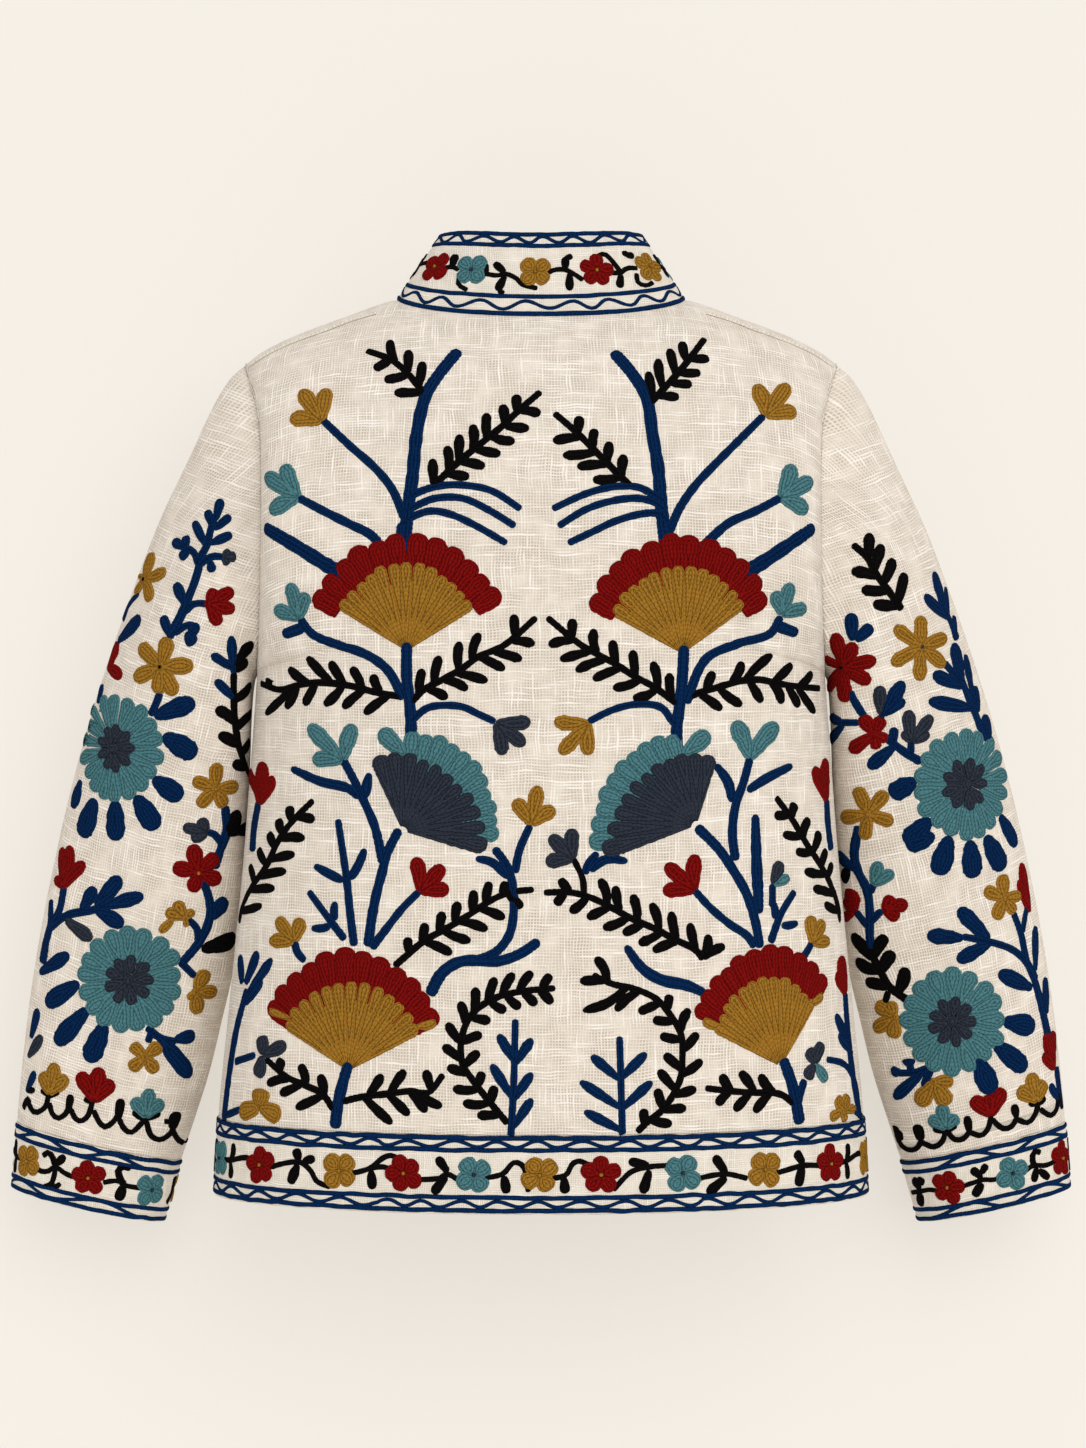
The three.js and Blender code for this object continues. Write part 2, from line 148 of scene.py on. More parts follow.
# %% The form of the panels
def panel(side, row, column):
    """The wearer's right half of a body panel. Rows run 0 to 1 up the side seam and 1 to 2 up the armhole;
    columns run 0 to 1 over the neckline and 1 to 2 over the shoulder."""
    row, column = np.broadcast_arrays(np.asarray(row, float), np.asarray(column, float))
    turn = np.pi * np.clip(row - 1, 0, 1)
    middle, reach = (UNDERARM + SHOULDER_Z) / 2, (SHOULDER_Z - UNDERARM) / 2
    side_z = np.where(row < 1, PANEL_BOTTOM + (UNDERARM - PANEL_BOTTOM) * row, middle - reach * np.cos(turn))
    neck = NECK_HALF / SHOULDER_X
    start = math.asin(FRONT_EDGE / SHOULDER_X / neck) if side == "front" else 0.0
    neck_turn = start + (math.pi / 2 - start) * np.clip(column, 0, 1)
    first = math.asin(neck ** (SQUARENESS / 2))
    out_turn = first + (math.pi / 2 - first) * np.clip(column - 1, 0, 1)
    u = np.where(column < 1, neck * np.sin(neck_turn), np.sin(out_turn) ** (2 / SQUARENESS))
    top = np.where(column < 1, -NECK_DROP[side] * np.cos(neck_turn), along(SHOULDER_LINE, u * SHOULDER_X))
    share = (side_z - PANEL_BOTTOM) / (SHOULDER_Z - PANEL_BOTTOM)
    dip = HEM_DIP * (1 - u**2) if side == "back" else 0.0
    z = (PANEL_BOTTOM - dip) * (1 - share) + top * share
    half = along(BODY_WIDTH, side_z) - ARMHOLE_SCOOP[side] * np.sin(turn) ** 2
    x = np.maximum(u * half, FRONT_EDGE if side == "front" else 0.0)
    below = along(SHOULDER_LINE, x) - z
    left = 1 - np.clip(below / SHOULDER_ROUND[side], 0, 1)
    full = along(BODY_DEPTH, z, 1 if side == "back" else 2) * np.sqrt(1 - left**2)
    bulge = np.clip(1 - u**SQUARENESS, 0, 1) ** (1 / SQUARENESS)
    depth = full * bulge + ARMHOLE_DEPTH[side] * np.sin(turn) * u**ARMHOLE_SPREAD
    return np.stack([x, -depth if side == "back" else depth, z], axis=-1)


def mirrored(points):
    return points * np.array([-1.0, 1.0, 1.0])


print("side neck", panel("back", 2.0, 1.0).round(1))

# %% [markdown]
# The sleeves. A set-in sleeve starts as the armhole's own line, eases into an oval over its cap, and runs
# down as a tube of oval sections to the cuff. A few soft troughs break its form, where the cloth folds. The
# cuff carries the last section on. A point is found by its ring and its turn.

# %% The form of the sleeves
def section(values, turn):
    """A point on an oval section; a quarter turn is its back, half a turn its outer end."""
    outer_x, outer_z, inner_x, inner_z, y, half_depth = values
    x = (outer_x + inner_x) / 2 - np.cos(turn) * (outer_x - inner_x) / 2
    z = (outer_z + inner_z) / 2 - np.cos(turn) * (outer_z - inner_z) / 2
    return np.stack(np.broadcast_arrays(x, y - half_depth * np.sin(turn), z), axis=-1)


def sleeve(ring, turn):
    """The right sleeve, from the armhole (ring 0) to the cuff seam."""
    ring, turn = np.broadcast_arrays(np.asarray(ring, float), np.asarray(turn, float))
    turn = turn % (2 * np.pi)
    values = [along(SLEEVE, ring, k) for k in range(1, 7)]
    back = panel("back", 1 + turn / np.pi, 2.0)
    front = panel("front", 3 - turn / np.pi, 2.0)
    armhole = np.where((turn <= np.pi)[..., None], back, front)
    off = armhole - section(SLEEVE[0, 1:], turn)
    fade = np.clip(1 - ring / CAP_RINGS, 0, 1) ** 2
    points = section(values, turn) + off * fade[..., None]
    middle = (section(values, 0.0 * turn) + section(values, 0.0 * turn + np.pi)) / 2
    inward = middle - points
    inward /= np.linalg.norm(inward, axis=-1, keepdims=True)
    free = np.clip(ring, 0, 1) * np.clip(SLEEVE_END - ring, 0, 1)
    dip = 0.0
    for at, spread, degrees, turns, depth in SLEEVE_TROUGHS:
        away = np.abs(np.degrees(turn) - degrees)
        away = np.minimum(away, 360 - away)
        dip = dip + depth * np.exp(-(((ring - at) / spread) ** 2) - (away / turns) ** 2)
    return points + inward * (free * dip)[..., None]


def cuff(share, turn):
    """The right cuff band, from the sleeve seam (0) to its edge (1)."""
    share, turn = np.broadcast_arrays(np.asarray(share, float), np.asarray(turn, float))
    values = [SLEEVE[-1, k + 1] * (1 - share) + CUFF_EDGE[k] * share for k in range(6)]
    return section(values, turn)


print("cuff", cuff(1, np.pi).round(1))

# %% [markdown]
# The hem band and the collar. The band hangs from the body's lower edge and widens a little. The collar is
# a strip that stands on the neckline and leans in to its top edge. Both are open at the front.

# %% The form of the bands
def hem_line(way):
    """Round the body's lower edge: 0 and 8 are the front edges, 2 and 6 the sides, 4 the centre back."""
    way = np.asarray(way, float)
    flip = np.where(way < 4, -1.0, 1.0)
    from_back = np.abs(way - 4)
    back = panel("back", 0.0, np.clip(from_back, 0, 2))
    front = panel("front", 0.0, np.clip(4 - from_back, 0, 2))
    points = np.where((from_back <= 2)[..., None], back, front)
    return points * np.stack([flip, np.ones_like(flip), np.ones_like(flip)], axis=-1)


def hem_band(share, way):
    """The hem band, from the body seam (0) down to its edge (1)."""
    share, way = np.broadcast_arrays(np.asarray(share, float), np.asarray(way, float))
    points = hem_line(way)
    spread = 1 + share * (float(along(BODY_WIDTH, HEM)) / float(along(BODY_WIDTH, PANEL_BOTTOM)) - 1)
    x = np.where(np.abs(points[..., 0]) <= 2 * FRONT_EDGE, points[..., 0], points[..., 0] * spread)
    return np.stack([x, points[..., 1], points[..., 2] - HEM_BAND * share], axis=-1)


def collar(share, degrees):
    """The collar, from the neckline (0) to its top edge (1); 0 degrees is the centre back."""
    share, degrees = np.broadcast_arrays(np.asarray(share, float), np.asarray(degrees, float))
    flip, turn = np.sign(degrees + 1e-9), np.abs(degrees)
    start = math.degrees(math.asin(FRONT_EDGE / NECK_HALF))
    back = panel("back", 2.0, np.clip(turn / 90, 0, 1))
    front = panel("front", 2.0, np.clip((180 - turn - start) / (90 - start), 0, 1))
    base = np.where((turn <= 90)[..., None], back, front)
    cosine, sine = np.cos(np.radians(turn)), np.sin(np.radians(turn))
    half = np.where(cosine > 0, COLLAR_TOP_Y["back"], COLLAR_TOP_Y["front"])
    x = np.maximum(COLLAR_TOP_X * sine, np.minimum(base[..., 0], FRONT_EDGE))
    top = np.stack([x, -half * cosine, along(COLLAR_TOP, turn)], axis=-1)
    points = base * (1 - share[..., None]) + top * share[..., None]
    return points * np.stack([flip, np.ones_like(flip), np.ones_like(flip)], axis=-1)


print("collar", collar(1, 0.0).round(1))

# %% [markdown]
# Lines and places. The helpers here step evenly along a curve, find which way a net faces, and read places
# that are written as text. They also tell where a point shows on the view, so that creases and patterns can
# be laid on it.

# %% Lines and places
CELL, EDGE_CELL = 5.0, 1.3


def even(curve, start, end, cell=CELL):
    """Counts from start to end at even distances along a curve, with a narrow cell at either end."""
    tries = np.linspace(start, end, 3000)
    steps = np.linalg.norm(np.diff(curve(tries), axis=0), axis=1)
    travelled = np.concatenate([[0], np.cumsum(steps)])
    length = travelled[-1]
    inner = np.linspace(EDGE_CELL, length - EDGE_CELL, max(2, round(length / cell)))
    return np.interp(np.concatenate([[0], inner, [length]]), travelled, tries)


def slopes(points, around):
    """How the net's points change from column to column and from row to row."""
    if around:
        wide = np.concatenate([points[:, -2:-1], points, points[:, 1:2]], axis=1)
        across = np.gradient(wide, axis=1)[:, 1:-1]
    else:
        across = np.gradient(points, axis=1)
    return across, np.gradient(points, axis=0)


def outward(points, core, around=False):
    """The net's normals, which point away from the core."""
    across, up = slopes(points, around)
    normal = np.cross(across, up)
    normal /= np.maximum(np.linalg.norm(normal, axis=-1, keepdims=True), 1e-9)
    return normal * np.sign(np.sum(normal * (points - core)))


def as_seen(points):
    """Where points show on the upright plane through the shoulders, as x and z in millimetres."""
    reach = -CAMERA[1] / (points[..., 1] - CAMERA[1])
    x = CAMERA[0] + (points[..., 0] - CAMERA[0]) * reach
    z = CAMERA[2] + (points[..., 2] - CAMERA[2]) * reach
    return np.stack([x, z], axis=-1)


def places(text):
    """A list of x,z places, written as one line of text."""
    return np.array([[float(v) for v in pair.split(",")] for pair in text.split()])


def smooth(points, cell):
    """An even run of points on the smooth curve through a few given ones."""
    points = np.asarray(points, float)
    if len(points) == 2:
        count = max(2, int(np.linalg.norm(points[1] - points[0]) / cell) + 1)
        return points[0] + np.linspace(0, 1, count)[:, None] * (points[1] - points[0])
    steps = np.linalg.norm(np.diff(points, axis=0), axis=1)
    at = np.concatenate([[0], np.cumsum(np.maximum(steps, 1e-6))])
    fine = np.linspace(0, at[-1], 40 * len(points))
    columns = range(points.shape[1])
    curve = np.stack([along(np.column_stack([at, points[:, k]]), fine) for k in columns], axis=1)
    run = np.concatenate([[0], np.cumsum(np.linalg.norm(np.diff(curve, axis=0), axis=1))])
    even_run = np.linspace(0, run[-1], max(3, int(run[-1] / cell) + 1))
    return np.stack([np.interp(even_run, run, curve[:, k]) for k in columns], axis=1)


print(len(places("0,0 10,0 20,5")), "places read")

# %% [markdown]
# The creases. The pull of the wool and of the armhole seams leaves a few soft creases. They are given as
# lines on the back's view, each with a width and a depth, and pressed into the net square to the
# cloth. Along every edge the cloth rolls under into its seam.

# %% Creases
ROLL = 0.55
CREASES = {  # piece: (places along the crease, half its width, its depth; a ridge is negative)
    "back": [
        ("-176,-70 -158,-118 -152,-160", 13, 1.1), ("-182,-215 -160,-238 -128,-250", 9, 1.5),
        ("-186,-236 -158,-262 -132,-278", 11, -1.2), ("-190,-330 -150,-338 -100,-330", 16, 0.9),
        ("-30,-150 -24,-230 -32,-300", 22, 0.9), ("38,-180 30,-260 40,-330", 20, -0.8),
        ("180,-206 160,-232 122,-246", 10, 1.6), ("186,-232 150,-264 118,-274", 11, -1.1),
        ("176,-78 160,-120 156,-158", 14, 1.2), ("196,-420 150,-440 96,-430", 17, 1.1),
        ("-204,-480 -160,-470 -118,-486", 15, 1.0), ("-70,-500 -58,-540 -62,-572", 14, 0.9),
        ("66,-494 74,-536 70,-572", 15, -0.9), ("0,-380 -8,-440 2,-500", 20, 0.8),
    ],
    "sleeve_left": [
        ("-214,-196 -236,-214 -252,-244", 8, 2.2), ("-212,-222 -232,-244 -246,-276", 9, -1.6),
        ("-208,-250 -228,-276 -238,-306", 9, 2.0), ("-214,-330 -236,-340 -262,-334", 10, 1.3),
        ("-330,-392 -300,-402 -268,-396", 11, 1.6), ("-338,-418 -304,-430 -266,-420", 10, -1.3),
        ("-232,-468 -262,-474 -296,-462", 12, 1.4), ("-348,-520 -316,-530 -276,-524", 11, 1.3),
        ("-226,-96 -246,-120 -252,-160", 12, 1.1),
    ],
    "sleeve_right": [
        ("212,-190 238,-212 256,-240", 8, 2.1), ("208,-226 230,-250 244,-284", 9, -1.7),
        ("210,-262 232,-286 240,-320", 9, 1.8), ("330,-402 302,-414 270,-404", 11, 1.7),
        ("336,-432 306,-444 268,-436", 10, -1.4), ("236,-480 268,-486 300,-474", 12, 1.3),
        ("350,-528 318,-540 282,-532", 11, 1.4), ("228,-100 248,-126 256,-166", 12, 1.2),
        ("216,-344 240,-352 268,-344", 10, 1.2),
    ],
    "front_left": [
        ("-180,-220 -150,-246 -110,-262", 11, 1.6), ("-30,-120 -60,-190 -74,-260", 16, 1.2),
        ("-196,-400 -150,-416 -90,-408", 16, 1.2), ("-40,-330 -52,-420 -44,-500", 20, 1.0),
    ],
    "front_right": [
        ("182,-214 152,-240 116,-252", 10, 1.7), ("34,-130 58,-200 70,-272", 16, 1.1),
        ("198,-430 150,-444 92,-430", 16, 1.1), ("44,-350 54,-430 40,-510", 20, 1.1),
    ],
    "collar": [("-40,10 -36,32", 9, 0.8), ("22,8 26,34", 10, -0.7)],
    "cuff_left": [("-344,-596 -338,-630", 8, 0.9), ("-292,-604 -288,-640", 9, -0.8)],
    "cuff_right": [("340,-598 336,-632", 8, 0.9), ("296,-606 290,-640", 9, -0.8)],
    "hem_band": [
        ("-150,-566 -146,-624", 16, 1.0), ("-60,-570 -62,-628", 18, -0.9), ("52,-568 60,-628", 15, 0.9),
        ("140,-566 146,-624", 18, -1.0),
    ],
}


def press(name, points, normal, around):
    """The net with its creases pressed in and its edges rolled under."""
    shown = as_seen(points)
    dip = np.zeros(points.shape[:2])
    for text, half, depth in CREASES.get(name, []):
        line = smooth(places(text), 4.0)
        away = np.full(dip.shape, np.inf)
        taper = np.zeros(dip.shape)
        for k, place in enumerate(line):
            distance = np.linalg.norm(shown - place, axis=-1)
            nearer = distance < away
            away = np.where(nearer, distance, away)
            taper = np.where(nearer, math.sin(math.pi * (k + 0.5) / len(line)) ** 0.7, taper)
        dip += depth * taper * np.exp(-((away / half) ** 2))
    rows, columns = dip.shape
    inside = np.minimum(np.arange(rows), np.arange(rows)[::-1])[:, None] * np.ones((1, columns))
    if not around:
        across = np.minimum(np.arange(columns), np.arange(columns)[::-1])[None, :]
        inside = np.minimum(inside, across)
    dip *= np.clip(inside / 4, 0, 1)
    roll = ROLL * np.select([inside == 0, inside == 1, inside == 2], [1.0, 0.25, 0.06], 0.0)
    return points - normal * (dip + roll)[..., None]


print(sum(len(lines) for lines in CREASES.values()), "creases")

# %% [markdown]
# The grain. The weave follows each piece as it was cut: straight across and up on the panels and the bands,
# and round and down on the sleeves. The grain is measured in millimetres, so threads keep their size.

# %% The grain
SLEEVE_RADIUS = 58.0


def arcs(points):
    """Distances along each row and up each column, in millimetres."""
    step = np.linalg.norm(np.diff(points, axis=1), axis=-1)
    across = np.concatenate([np.zeros((len(points), 1)), np.cumsum(step, axis=1)], axis=1)
    across -= across[:, points.shape[1] // 2][:, None]
    step = np.linalg.norm(np.diff(points, axis=0), axis=-1)
    up = np.concatenate([np.zeros((1, points.shape[1])), np.cumsum(step, axis=0)], axis=0)
    return np.stack([across, up], axis=-1)


def down_the_sleeve(points, core):
    """The grain of a sleeve: distances round its middle line and along it."""
    middle = core[:, 0]
    axis = (middle[-1] - middle[0]) / np.linalg.norm(middle[-1] - middle[0])
    length = np.sum(points * axis, axis=-1)
    known = middle @ axis
    slope = (middle[3] - middle[0]) / (known[3] - known[0])
    known = np.concatenate([[known[0] - 200], known])
    middle = np.concatenate([[middle[0] - 200 * slope], middle])
    off = points - np.stack([np.interp(length, known, middle[:, k]) for k in range(3)], axis=-1)
    side = np.cross(axis, [0, 1.0, 0])
    side /= np.linalg.norm(side)
    turn = np.arctan2(np.sum(off * np.cross(axis, side), axis=-1), np.sum(off * side, axis=-1))
    return np.stack([np.unwrap(turn, axis=1) * SLEEVE_RADIUS, length], axis=-1)


print("sleeve radius", SLEEVE_RADIUS)

# %% [markdown]
# The nets. Each piece of cloth is a fine net of points on its form, with cells of about 5 mm and a narrow
# one along every edge. The left pieces mirror the right ones, as they are cut from the same pattern.

# %% The nets of the pieces
SOFTENING_ROUNDS = 34


def soften(points, rows):
    """Lets the cloth flow over the line of the underarm, where the armhole begins to bite."""
    hold = np.exp(-(((rows - 1) / 0.2) ** 4))[:, None]
    for _ in range(SOFTENING_ROUNDS):
        depth = points[..., 1]
        step = (depth[:-2, 1:-1] + depth[2:, 1:-1]) / 2 - depth[1:-1, 1:-1]
        points[1:-1, 1:-1, 1] += 0.8 * hold[1:-1] * step
    return points


def add_tubes(name, tube):
    """The right piece and its mirror, each with its middle line."""
    core = np.broadcast_to(tube[:, :-1].mean(axis=1, keepdims=True), tube.shape)
    nets[f"{name}_right"] = (tube, core, True)
    nets[f"{name}_left"] = (mirrored(tube), mirrored(core), True)


nets = {}
turns = even(lambda t: sleeve(8.0, t), 0, 2 * np.pi)
turns = np.linspace(0, 2 * np.pi, len(turns))
rings = even(lambda r: sleeve(r, np.pi), 0, SLEEVE_END)
heights = np.concatenate([
    even(lambda r: panel("back", r, 2.0), 0, 1)[:-1],
    even(lambda r: panel("back", r, 2.0), 1, 2)[1:],
])
outs = even(lambda c: panel("back", 0.9, c), 0, 2)[2:]
wide = np.concatenate([-outs[::-1], [0.0], outs])
half_back = soften(panel("back", heights[:, None], np.abs(wide)[None, :]), heights)
half_back[..., 0] *= np.sign(wide + 1e-12)
upright = np.array([0.0, 0.0, 1.0])
nets["back"] = (half_back, half_back * upright, False)
outs = even(lambda c: panel("front", 0.9, c), 0, 2)
half_front = soften(panel("front", heights[:, None], outs[None, :]), heights)
nets["front_right"] = (half_front, half_front * upright, False)
nets["front_left"] = (mirrored(half_front), half_front * upright, False)
add_tubes("sleeve", sleeve(rings[:, None], turns[None, :]))
downs = even(lambda s: cuff(s, np.pi), 0, 1)
add_tubes("cuff", cuff(downs[:, None], turns[None, :]))
ways = even(hem_line, 0, 8)
downs = even(lambda s: hem_band(s, 4.0), 0, 1)
band = hem_band(downs[:, None], ways[None, :])
nets["hem_band"] = (band, band * upright, False)
angles = even(lambda a: collar(0.5, a), -179.1, 179.1)
ups = even(lambda s: collar(s, 0.0), 0, 1)
band = collar(ups[:, None], angles[None, :])
nets["collar"] = (band, band * upright, False)
print({name: net[0].shape[:2] for name, net in nets.items()})

# %% [markdown]
# The looks are made by groups of shader nodes, which read the mesh's own measures in millimetres, so the
# threads and the stitches keep their size on every piece. Each group gives a colour and a height. These
# helpers let a formula be written in a few short lines.

# %% Shader helpers
def node(tree, kind, inputs=(), **facts):
    """Adds a node; inputs are values or sockets, by their place or name."""
    made = tree.nodes.new(kind)
    for key, value in facts.items():
        setattr(made, key, value)
    for key, value in dict(inputs).items():
        if isinstance(value, bpy.types.NodeSocket):
            tree.links.new(value, made.inputs[key])
        else:
            made.inputs[key].default_value = value
    return made


class Group:
    """A group of shader nodes that gives a colour and a height. takes lists its inputs: name, kind, value."""

    def __init__(self, name, takes):
        self.tree = bpy.data.node_groups.new(name, "ShaderNodeTree")
        for label, kind, value in takes:
            made = self.tree.interface.new_socket(label, in_out="INPUT", socket_type=f"NodeSocket{kind}")
            if value is not None:
                made.default_value = value
        for label, kind in (("Color", "Color"), ("Height", "Float")):
            self.tree.interface.new_socket(label, in_out="OUTPUT", socket_type=f"NodeSocket{kind}")
        self.given = self.tree.nodes.new("NodeGroupInput").outputs

    def maths(self, operation, *values):
        return node(self.tree, "ShaderNodeMath", enumerate(values), operation=operation).outputs[0]

    def split(self, vector):
        return node(self.tree, "ShaderNodeSeparateXYZ", {0: vector}).outputs

    def noise(self, vector, scale, detail):
        inputs = {"Vector": vector, "Scale": scale, "Detail": detail}
        return node(self.tree, "ShaderNodeTexNoise", inputs).outputs["Fac"]

    def ramp(self, value, low, high, to_low, to_high):
        """Maps the values from low to high on those from to_low to to_high."""
        inputs = {0: value, 1: low, 2: high, 3: to_low, 4: to_high}
        return node(self.tree, "ShaderNodeMapRange", inputs).outputs[0]

    def blend(self, share, one, other, way="MIX"):
        inputs = {0: share, 6: one, 7: other}
        return node(self.tree, "ShaderNodeMix", inputs, data_type="RGBA", blend_type=way).outputs[2]

    def shaded(self, colour, tone):
        """The colour, darkened or lightened by a tone."""
        grey = node(self.tree, "ShaderNodeCombineColor", {0: tone, 1: tone, 2: tone}).outputs[0]
        return self.blend(1.0, colour, grey, "MULTIPLY")

    def give(self, colour, height):
        node(self.tree, "NodeGroupOutput", {"Color": colour, "Height": height})


def group_material(name, group, layer, values, strength, deep, **finish):
    """A material whose colour and relief come from a group that reads one of the mesh's measures."""
    material = bpy.data.materials.new(name)
    material.use_nodes = True
    tree = material.node_tree
    shader = tree.nodes["Principled BSDF"]
    used = tree.nodes.new("ShaderNodeGroup")
    used.node_tree = bpy.data.node_groups[group]
    tree.links.new(node(tree, "ShaderNodeUVMap", uv_map=layer).outputs[0], used.inputs[0])
    for key, value in values.items():
        used.inputs[key].default_value = value
    inputs = {"Strength": strength, "Distance": deep, "Height": used.outputs["Height"]}
    bump = node(tree, "ShaderNodeBump", inputs)
    tree.links.new(used.outputs["Color"], shader.inputs["Base Color"])
    tree.links.new(bump.outputs[0], shader.inputs["Normal"])
    for key, value in finish.items():
        shader.inputs[key.replace("_", " ")].default_value = value
    return material


print("shader helpers ready")

# %% [markdown]
# The weave. The linen is open and slubby: pale threads about two millimetres apart, now and then a thick
# lighter one that runs a hand's width and thins out again, both ways of the cloth. Patches where the
# threads lie closer and a fine fuzz keep it from looking like a sieve. The gaps between the threads, and
# each thread's rounded sides, take a darker colour: painted shade. The bands are a closer weave.

# %% Linen shader
def threads_one_way(group, across, along_it, wander, seed):
    """The heights of the threads and of the slubs that run one way of the cloth."""
    maths = group.maths
    count = maths("DIVIDE", maths("ADD", across, wander), group.given["Pitch"])
    number = maths("FLOOR", count)
    place = maths("SUBTRACT", maths("FRACT", count), 0.5)
    length = maths("MULTIPLY", along_it, 0.028)
    row = node(group.tree, "ShaderNodeCombineXYZ", {0: number, 1: length, 2: seed}).outputs[0]
    slub = group.ramp(group.noise(row, 1.0, 3.0), 0.5, 0.68, 0.0, 1.0)
    width = maths("ADD", 0.3, maths("MULTIPLY", slub, 0.24))
    share = maths("DIVIDE", place, width)
    thread = maths("MAXIMUM", maths("SUBTRACT", 1.0, maths("MULTIPLY", share, share)), 0.0)
    return thread, maths("MULTIPLY", slub, thread)


def weave_group():
    group = Group("open linen weave", [
        ("Grain", "Vector", None), ("Pitch", "Float", 1.15), ("Thread", "Color", (0.9, 0.85, 0.76, 1)),
        ("Slub", "Color", (1, 0.97, 0.9, 1)), ("Gap", "Color", (0.5, 0.45, 0.37, 1)),
    ])
    maths, given = group.maths, group.given
    parts = group.split(given["Grain"])
    wander = maths("MULTIPLY", maths("SUBTRACT", group.noise(given["Grain"], 0.035, 2.0), 0.5), 5.0)
    warp, warp_slub = threads_one_way(group, parts[0], parts[1], wander, 3.1)
    weft, weft_slub = threads_one_way(group, parts[1], parts[0], wander, 7.7)
    closed = group.ramp(group.noise(given["Grain"], 0.06, 5.0), 0.36, 0.66, 0.0, 0.78)
    cloth = maths("MAXIMUM", maths("MAXIMUM", warp, weft), closed)
    slub = maths("MAXIMUM", warp_slub, weft_slub)
    fuzz = group.noise(given["Grain"], 1.6, 4.0)
    # Painted shade: the gaps between threads, and each thread's rounded sides, blend to the darker gap
    # colour.
    colour = group.blend(slub, group.blend(cloth, given["Gap"], given["Thread"]), given["Slub"])
    height = maths("ADD", cloth, maths("MULTIPLY", maths("MULTIPLY", warp, weft), 0.35))
    height = maths("ADD", height, maths("MULTIPLY", slub, 0.8))
    height = maths("ADD", height, maths("MULTIPLY", fuzz, 0.3))
    group.give(group.shaded(colour, group.ramp(fuzz, 0.3, 0.7, 0.93, 1.04)), height)


def linen_material(name, pitch, thread, slub, gap):
    values = {"Pitch": pitch, "Thread": (*thread, 1), "Slub": (*slub, 1), "Gap": (*gap, 1)}
    finish = {"Roughness": 0.92, "Sheen_Weight": 0.12}
    return group_material(name, "open linen weave", "weave", values, 0.7, 0.0006, **finish)


weave_group()
# The last colour of each is the painted shade in the gaps between threads.
linen = linen_material("linen", 2.1, (0.81, 0.733, 0.642), (0.93, 0.87, 0.79), (0.5, 0.42, 0.335))
band_linen = linen_material("band_linen", 1.5, (0.85, 0.785, 0.69), (0.93, 0.87, 0.785), (0.62, 0.55, 0.455))
print(linen.name, "and", band_linen.name, "made")

# %% [markdown]
# The shells. Every cut piece becomes a thin shell: its outer face is the net and its inner face lies one
# cloth deeper, so the neck, the cuffs and the hem are open, with a real edge. The collar, the cuffs and the
# hem band are doubled, so they stand half a millimetre prouder and are thicker.

# %% Shells
def lay_out(name, points, core, around):
    """The pressed net and its grain, in millimetres."""
    proud = PROUD if name in BANDS else 0.0
    normal = outward(points, core, around)
    points = points + normal * proud
    grain = down_the_sleeve(points, core) if name.startswith("sleeve") else arcs(points)
    if around:
        normal[:, -1] = normal[:, 0]
    return press(name, points, normal, around), grain


def shell(name, points, core, around, grain, material):
    rows, columns = points.shape[:2]
    bm = bmesh.new()
    bmesh.ops.create_grid(bm, x_segments=columns - 1, y_segments=rows - 1, size=1.0)
    mesh = bpy.data.meshes.new(name)
    bm.to_mesh(mesh)
    bm.free()
    mesh.vertices.foreach_set("co", (points * MM).ravel())
    corners = np.empty(len(mesh.loops), int)
    mesh.loops.foreach_get("vertex_index", corners)
    mesh.uv_layers.new(name="weave").data.foreach_set("uv", grain.reshape(-1, 2)[corners].ravel())
    bm = bmesh.new()
    bm.from_mesh(mesh)
    bm.normal_update()
    inside = core.reshape(-1, 3) * MM
    bm.verts.ensure_lookup_table()
    facing = sum(v.normal.dot(v.co) - v.normal.dot(inside[v.index]) for v in bm.verts)
    if facing < 0:
        bmesh.ops.reverse_faces(bm, faces=bm.faces)
    if around:
        bmesh.ops.remove_doubles(bm, verts=bm.verts, dist=1e-6)
    for face in bm.faces:
        face.smooth = True
    bm.to_mesh(mesh)
    bm.free()
    piece = bpy.data.objects.new(f"cloth_{name}", mesh)
    bpy.context.scene.collection.objects.link(piece)
    thick = piece.modifiers.new("cloth", "SOLIDIFY")
    thick.thickness = (CLOTH + (PROUD if name in BANDS else 0)) * MM
    thick.offset = -1
    mesh.materials.append(material)
    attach(piece, "root")
    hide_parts(name)
    return piece


BANDS = ("collar", "hem_band", "cuff_right", "cuff_left")
laid = {}
for name, (points, core, around) in nets.items():
    laid[name], grain = lay_out(name, points, core, around)
    piece = shell(name, laid[name], core, around, grain, band_linen if name in BANDS else linen)
    span = grain.reshape(-1, 2)
    size = (span.max(axis=0) - span.min(axis=0)) * MM
    one = laid[name]
    if name.startswith("sleeve"):
        way = core[-1, 0] - core[0, 0]
        way = way / np.linalg.norm(way)
        round_it = one - (one @ way)[..., None] * way
        size[0] = np.linalg.norm(np.diff(round_it, axis=1), axis=-1).sum(axis=1).max() * MM

# %% [markdown]
# The wool. The patterns are sewn in thick wool: each stem, leaf and petal is a low, rounded bank of chain
# stitches that follow its outline. Each outline here is the half width of a stroke by the distance along
# it: a stem has round ends, a petal a narrow foot, and a fan's petal widens like a wedge.

# %% Outlines of strokes
def run_length(points):
    return np.concatenate([[0], np.cumsum(np.linalg.norm(np.diff(points, axis=0), axis=1))])


def strokes_path(points, spacing=1.7):
    """Points along a smooth line through the given ones, closer together at both ends."""
    fine = smooth(points, 0.7)
    run = run_length(fine)
    u = np.linspace(0, 1, max(8, int(run[-1] / spacing)))
    at = (u - 0.62 * np.sin(2 * np.pi * u) / (2 * np.pi)) * run[-1]
    return np.stack([np.interp(at, run, fine[:, k]) for k in range(fine.shape[1])], axis=1)


def stem_half(s, half, taper):
    length = s[-1]
    end = np.minimum(np.minimum(s, length - s) / half, 1)
    return half * (1 - (1 - taper) * s / length) * np.sqrt(1 - (1 - end) ** 2)


